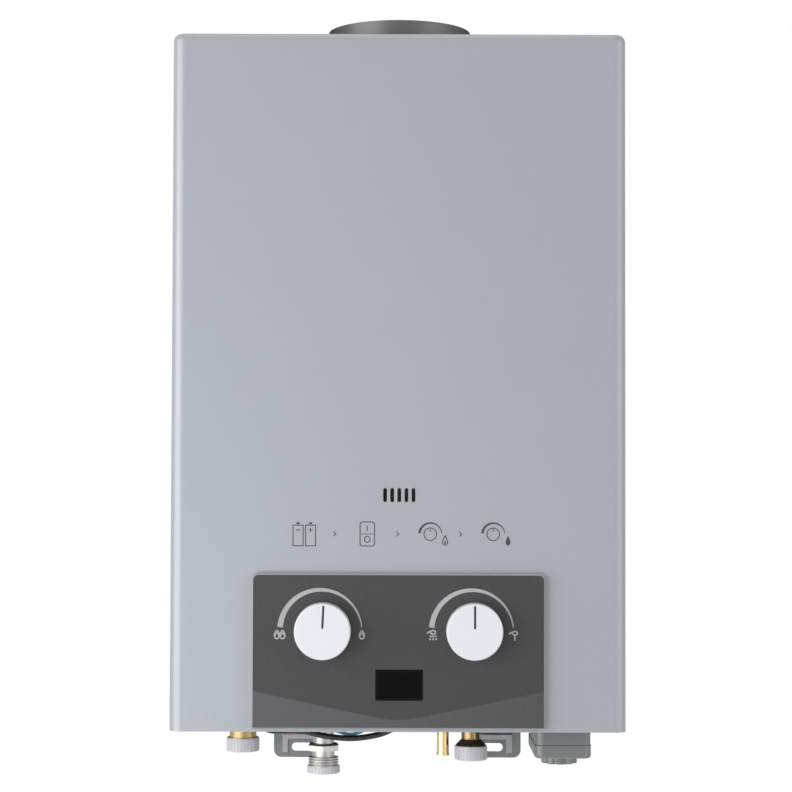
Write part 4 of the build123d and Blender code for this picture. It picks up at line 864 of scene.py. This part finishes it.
def dial_sign(marks, centre, height, line, content):
    """Turning knob under a tapering arc, with a flame or a drop beside it."""
    x, z = centre
    radius = 0.26 * height
    marks.stroke(arc((x, z), radius, 0, 352, 44), line, closed=True)
    marks.stroke([(x, z + 0.4 * radius), (x, z + 0.8 * radius)], line)
    tapered_arc(marks, (x, z), 0.5 * height, (2.6 * line, 1.7 * line, 0.8 * line))
    content(marks, (x + 0.62 * height, z - 0.26 * height))


class HeaterOperator:
    """What the operators share."""

    bl_options = {"REGISTER", "UNDO"}


class HEATER_OT_sheet_metal(HeaterOperator, bpy.types.Operator):
    """Paint the case and finish the chassis, hood, collar and screws"""

    bl_idname = "heater.sheet_metal"
    bl_label = "Sheet Metal"

    def execute(self, context):
        dress(SHEET_METAL, context.scene.heater_colours)
        return {"FINISHED"}


class HEATER_OT_waterworks(HeaterOperator, bpy.types.Operator):
    """Finish the pipes, valves, burner, exchanger and connections"""

    bl_idname = "heater.waterworks"
    bl_label = "Pipes and Burner"

    def execute(self, context):
        dress(WATERWORKS, context.scene.heater_colours)
        for node, finish in FITTINGS_WITH_PAINTED_SHADE.items():
            frame["nodes"][node].data.materials[0] = finish(context.scene.heater_colours)
        return {"FINISHED"}


class HEATER_OT_controls(HeaterOperator, bpy.types.Operator):
    """Finish the control panel, display and knobs"""

    bl_idname = "heater.controls"
    bl_label = "Control Panel"

    def execute(self, context):
        dress(CONTROLS, context.scene.heater_colours)
        return {"FINISHED"}


class HEATER_OT_mouldings(HeaterOperator, bpy.types.Operator):
    """Finish the battery box, caps, switch and other mouldings"""

    bl_idname = "heater.mouldings"
    bl_label = "Mouldings"

    def execute(self, context):
        dress(MOULDINGS, context.scene.heater_colours)
        return {"FINISHED"}


class HEATER_OT_leads(HeaterOperator, bpy.types.Operator):
    """Finish the black, blue and red leads"""

    bl_idname = "heater.leads"
    bl_label = "Leads"

    def execute(self, context):
        dress(LEADS, context.scene.heater_colours)
        return {"FINISHED"}


def arc_centre(knob, sizes):
    """Centre of the printed arc round a knob."""
    axis = middle(knob)
    return axis.x - sizes.arc_left, axis.z - sizes.arc_drop


class HEATER_OT_dial_arcs(HeaterOperator, bpy.types.Operator):
    """Print the tapering arc over each knob"""

    bl_idname = "heater.dial_arcs"
    bl_label = "Dial Arcs"

    def execute(self, context):
        sizes = context.scene.heater_print
        ink = screen_ink("pale_arc_ink", context.scene.heater_colours.pale_ink)
        widths = (sizes.arc_start_width, sizes.arc_top_width, sizes.arc_end_width)
        for knob in ("gas_knob", "water_knob"):
            marks = PrintedMarks(FILM_FACE, sizes)
            tapered_arc(marks, arc_centre(knob, sizes), sizes.arc_radius, widths)
            marks.piece(f"{knob}_arc", ink)
        return {"FINISHED"}


class HEATER_OT_dial_icons(HeaterOperator, bpy.types.Operator):
    """Print the flame and water marks at the ends of the arcs"""

    bl_idname = "heater.dial_icons"
    bl_label = "Dial Marks"

    def execute(self, context):
        sizes = context.scene.heater_print
        ink = screen_ink("pale_mark_ink", context.scene.heater_colours.pale_ink)
        height = sizes.icon_height
        line = sizes.icon_line
        gas_x, gas_z = arc_centre("gas_knob", sizes)
        water_x, water_z = arc_centre("water_knob", sizes)
        flames = PrintedMarks(FILM_FACE, sizes)
        level = gas_z - sizes.icon_drop
        apart = 0.29 * height
        places = (-sizes.icon_reach - apart, -sizes.icon_reach + apart, sizes.icon_reach + 0.2 * height)
        for place in places:
            burner_flame(flames, (gas_x + place, level), height, line)
        flames.piece("flame_marks", ink)
        water = PrintedMarks(FILM_FACE, sizes)
        level = water_z - sizes.icon_drop
        left = (water_x - sizes.icon_reach + 0.19 * height, level)
        right = (water_x + sizes.icon_reach + 0.34 * height, level - 0.07 * height)
        spray_mark(water, left, height, line, 3)
        spray_mark(water, right, height, line, 1)
        water.piece("water_marks", ink)
        return {"FINISHED"}


def lower_facets(node):
    """Frames of a node's two largest downward facets, rear one first, with -Y along each normal."""
    nearly_down = -0.9
    facets = {}
    for face in frame["nodes"][node].data.polygons:
        if face.normal.z < nearly_down:
            facets.setdefault(round(face.normal.y, 2), []).append(face)
    areas = {key: sum(face.area for face in faces) for key, faces in facets.items()}
    places = []
    for key in sorted(facets, key=areas.get)[-2:]:
        centre = sum((face.center * face.area for face in facets[key]), Vector()) / areas[key]
        across = Vector((1, 0, 0))
        inward = -facets[key][0].normal
        turn = Matrix((across, inward, across.cross(inward))).transposed().to_4x4()
        places.append(Matrix.Translation(centre) @ turn)
    return sorted(places, key=lambda place: -place.translation.y)


class HEATER_OT_switch_marks(HeaterOperator, bpy.types.Operator):
    """Print the bar and the ring on the two halves of the rocker"""

    bl_idname = "heater.switch_marks"
    bl_label = "Switch Marks"

    def execute(self, context):
        sizes = context.scene.heater_print
        ink = screen_ink("white_switch_ink", context.scene.heater_colours.knob)
        facets = lower_facets("power_rocker")
        if len(facets) != 2:
            raise RuntimeError("the rocker has no two lower facets")
        reach = sizes.switch_mark / 2
        bar = PrintedMarks(facets[0], sizes)
        bar.stroke([(-reach, 0), (reach, 0)], sizes.switch_line)
        bar.piece("switch_bar", ink, "power_rocker")
        ring = PrintedMarks(facets[1], sizes)
        ring.stroke(arc((0, 0), reach, 0, 352, 44), sizes.switch_line, closed=True)
        ring.piece("switch_ring", ink, "power_rocker")
        return {"FINISHED"}


class HEATER_OT_case_signs(HeaterOperator, bpy.types.Operator):
    """Print the small picture signs above the panel: cells, switch, flame dial, water dial"""

    bl_idname = "heater.case_signs"
    bl_label = "Picture Signs"

    def execute(self, context):
        sizes = context.scene.heater_print
        ink = screen_ink("dark_sign_ink", context.scene.heater_colours.dark_ink)
        height = sizes.sign_height
        line = sizes.sign_line
        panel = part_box("control_panel")
        level = panel[1].z + sizes.sign_rise
        first = (panel[0].x + panel[1].x) / 2 - 1.5 * sizes.sign_pitch

        def flame(marks, centre):
            flame_mark(marks, centre, 0.46 * height, line)
            core = (centre[0], centre[1] - 0.07 * height)
            marks.patch(drop_outline(core, 0.08 * height, 0.16 * height, 14))

        def drop(marks, centre):
            marks.patch(drop_outline(centre, 0.22 * height, 0.4 * height))

        marks = PrintedMarks(COVER_FACE, sizes)
        cells_sign(marks, (first, level), height, line)
        rocker_sign(marks, (first + sizes.sign_pitch, level), height, line)
        dial_sign(marks, (first + 2 * sizes.sign_pitch, level), height, line, flame)
        dial_sign(marks, (first + 3 * sizes.sign_pitch, level), height, line, drop)
        for step in (0.5, 1.5, 2.5):
            x = first + step * sizes.sign_pitch
            tip = 0.1 * height
            marks.stroke([(x - tip, level + tip), (x, level), (x - tip, level - tip)], line)
        marks.piece("case_signs", ink)
        return {"FINISHED"}


def lamp(name, place, target, size, power):
    """Soft square lamp aimed at a point."""
    data = bpy.data.lights.new(name, "AREA")
    data.size = size
    data.energy = power
    made = bpy.data.objects.new(name, data)
    made.location = place
    made.rotation_euler = (Vector(target) - Vector(place)).to_track_quat("-Z", "Y").to_euler()
    bpy.context.scene.collection.objects.link(made)


def seen_directly(graph):
    """1 for rays from the camera, from gloss or through glass."""
    path = graph.node("ShaderNodeLightPath", output="Is Camera Ray").socket.node
    kinds = ("Camera", "Glossy", "Transmission")
    camera, glossy, through = [Field(graph, path.outputs[f"Is {kind} Ray"]) for kind in kinds]
    return camera.maths("ADD", camera + glossy, through, clamp=True)


def studio_floor(settings):
    """Round pale floor, white to the eye where nothing shades it."""
    mesh = bpy.data.meshes.new("studio_floor")
    disc = bmesh.new()
    bmesh.ops.create_circle(disc, cap_ends=True, radius=settings.floor_radius, segments=96)
    disc.to_mesh(mesh)
    disc.free()
    floor = bpy.data.objects.new("studio_floor", mesh)
    floor.location = (0, 0, CAD_BOX[0].z - settings.floor_drop)
    bpy.context.scene.collection.objects.link(floor)
    material = bpy.data.materials.new("pale_floor")
    material.use_nodes = True
    mesh.materials.append(material)
    graph = Graph(material.node_tree)
    matt = graph.node("ShaderNodeBsdfDiffuse", None, {"Color": FLOOR_MATT})
    shade = graph.node("ShaderNodeBsdfDiffuse", None, {"Color": FLOOR_SHADE})
    glow = graph.node("ShaderNodeEmission", None, {"Strength": FLOOR_GLOW})
    bright = graph.node("ShaderNodeAddShader", None, {0: shade, 1: glow})
    shown = graph.node("ShaderNodeMixShader", None, {0: seen_directly(graph), 1: matt, 2: bright})
    graph.node("ShaderNodeOutputMaterial", None, {"Surface": shown})


def studio_camera(scene, settings):
    """Camera at the set place, tilted and rolled."""
    camera = bpy.data.objects.new("camera", bpy.data.cameras.new("camera"))
    camera.data.lens = settings.lens
    camera.data.sensor_width = SENSOR_WIDTH
    camera.data.clip_start = CLIP_START
    tilt = Matrix.Rotation(radians(90) + settings.camera_pitch, 4, "X")
    roll = Matrix.Rotation(settings.camera_roll, 4, "Z")
    camera.matrix_world = Matrix.Translation(settings.camera_place) @ tilt @ roll
    scene.collection.objects.link(camera)
    scene.camera = camera


def white_surroundings(scene, settings):
    """Even light from all round, white to the eye."""
    world = bpy.data.worlds.new("white_surroundings")
    world.use_nodes = True
    scene.world = world
    graph = Graph(world.node_tree)
    even = graph.node("ShaderNodeBackground", None, {"Color": WHITE, "Strength": settings.ambient})
    white = graph.node("ShaderNodeBackground", None, {"Color": WHITE, "Strength": 1.0})
    shown = graph.node("ShaderNodeMixShader", None, {0: seen_directly(graph), 1: even, 2: white})
    graph.node("ShaderNodeOutputWorld", None, {"Surface": shown})


class HEATER_OT_studio(HeaterOperator, bpy.types.Operator):
    """Set the camera, lamps, white surroundings and floor"""

    bl_idname = "heater.studio"
    bl_label = "Studio"

    def execute(self, context):
        scene = context.scene
        settings = scene.heater_studio
        studio_camera(scene, settings)
        scene.view_settings.view_transform = "Standard"
        white_surroundings(scene, settings)
        centre = (CAD_BOX[0] + CAD_BOX[1]) / 2
        for name, place, size, power in LAMPS:
            lamp(name, centre + Vector(place), centre, size, getattr(settings, power))
        studio_floor(settings)
        return {"FINISHED"}


class HEATER_PT_looks(bpy.types.Panel):
    """Lists the steps and their settings"""

    bl_label = "Water Heater"
    bl_idname = "HEATER_PT_looks"
    bl_space_type = "VIEW_3D"
    bl_region_type = "UI"
    bl_category = "Heater"

    def draw(self, context):
        column = self.layout.column()
        for operator in OPERATORS:
            column.operator(operator.bl_idname)
        for name in GROUPS:
            group = getattr(context.scene, name)
            box = self.layout.box()
            for key in group.bl_rna.properties.keys():
                if key not in {"rna_type", "name"}:
                    box.prop(group, key)


GROUPS = {"heater_colours": HeaterColours, "heater_print": PrintSizes, "heater_studio": StudioSettings}
OPERATORS = (
    HEATER_OT_sheet_metal,
    HEATER_OT_waterworks,
    HEATER_OT_controls,
    HEATER_OT_mouldings,
    HEATER_OT_leads,
    HEATER_OT_dial_arcs,
    HEATER_OT_dial_icons,
    HEATER_OT_switch_marks,
    HEATER_OT_case_signs,
    HEATER_OT_studio,
)
CLASSES = (*GROUPS.values(), *OPERATORS, HEATER_PT_looks)


def register():
    """Makes the steps, settings and panel known to Blender."""
    for cls in CLASSES:
        bpy.utils.register_class(cls)
    for name, group in GROUPS.items():
        setattr(bpy.types.Scene, name, PointerProperty(type=group))


def unregister():
    """Takes them out again."""
    for name in GROUPS:
        delattr(bpy.types.Scene, name)
    for cls in reversed(CLASSES):
        bpy.utils.unregister_class(cls)


def main():
    """Runs every step in order."""
    register()
    bpy.ops.heater.sheet_metal()
    bpy.ops.heater.waterworks()
    bpy.ops.heater.controls()
    bpy.ops.heater.mouldings()
    bpy.ops.heater.leads()
    bpy.ops.heater.dial_arcs()
    bpy.ops.heater.dial_icons()
    bpy.ops.heater.switch_marks()
    bpy.ops.heater.case_signs()
    bpy.ops.heater.studio()


if __name__ == "__main__":
    main()
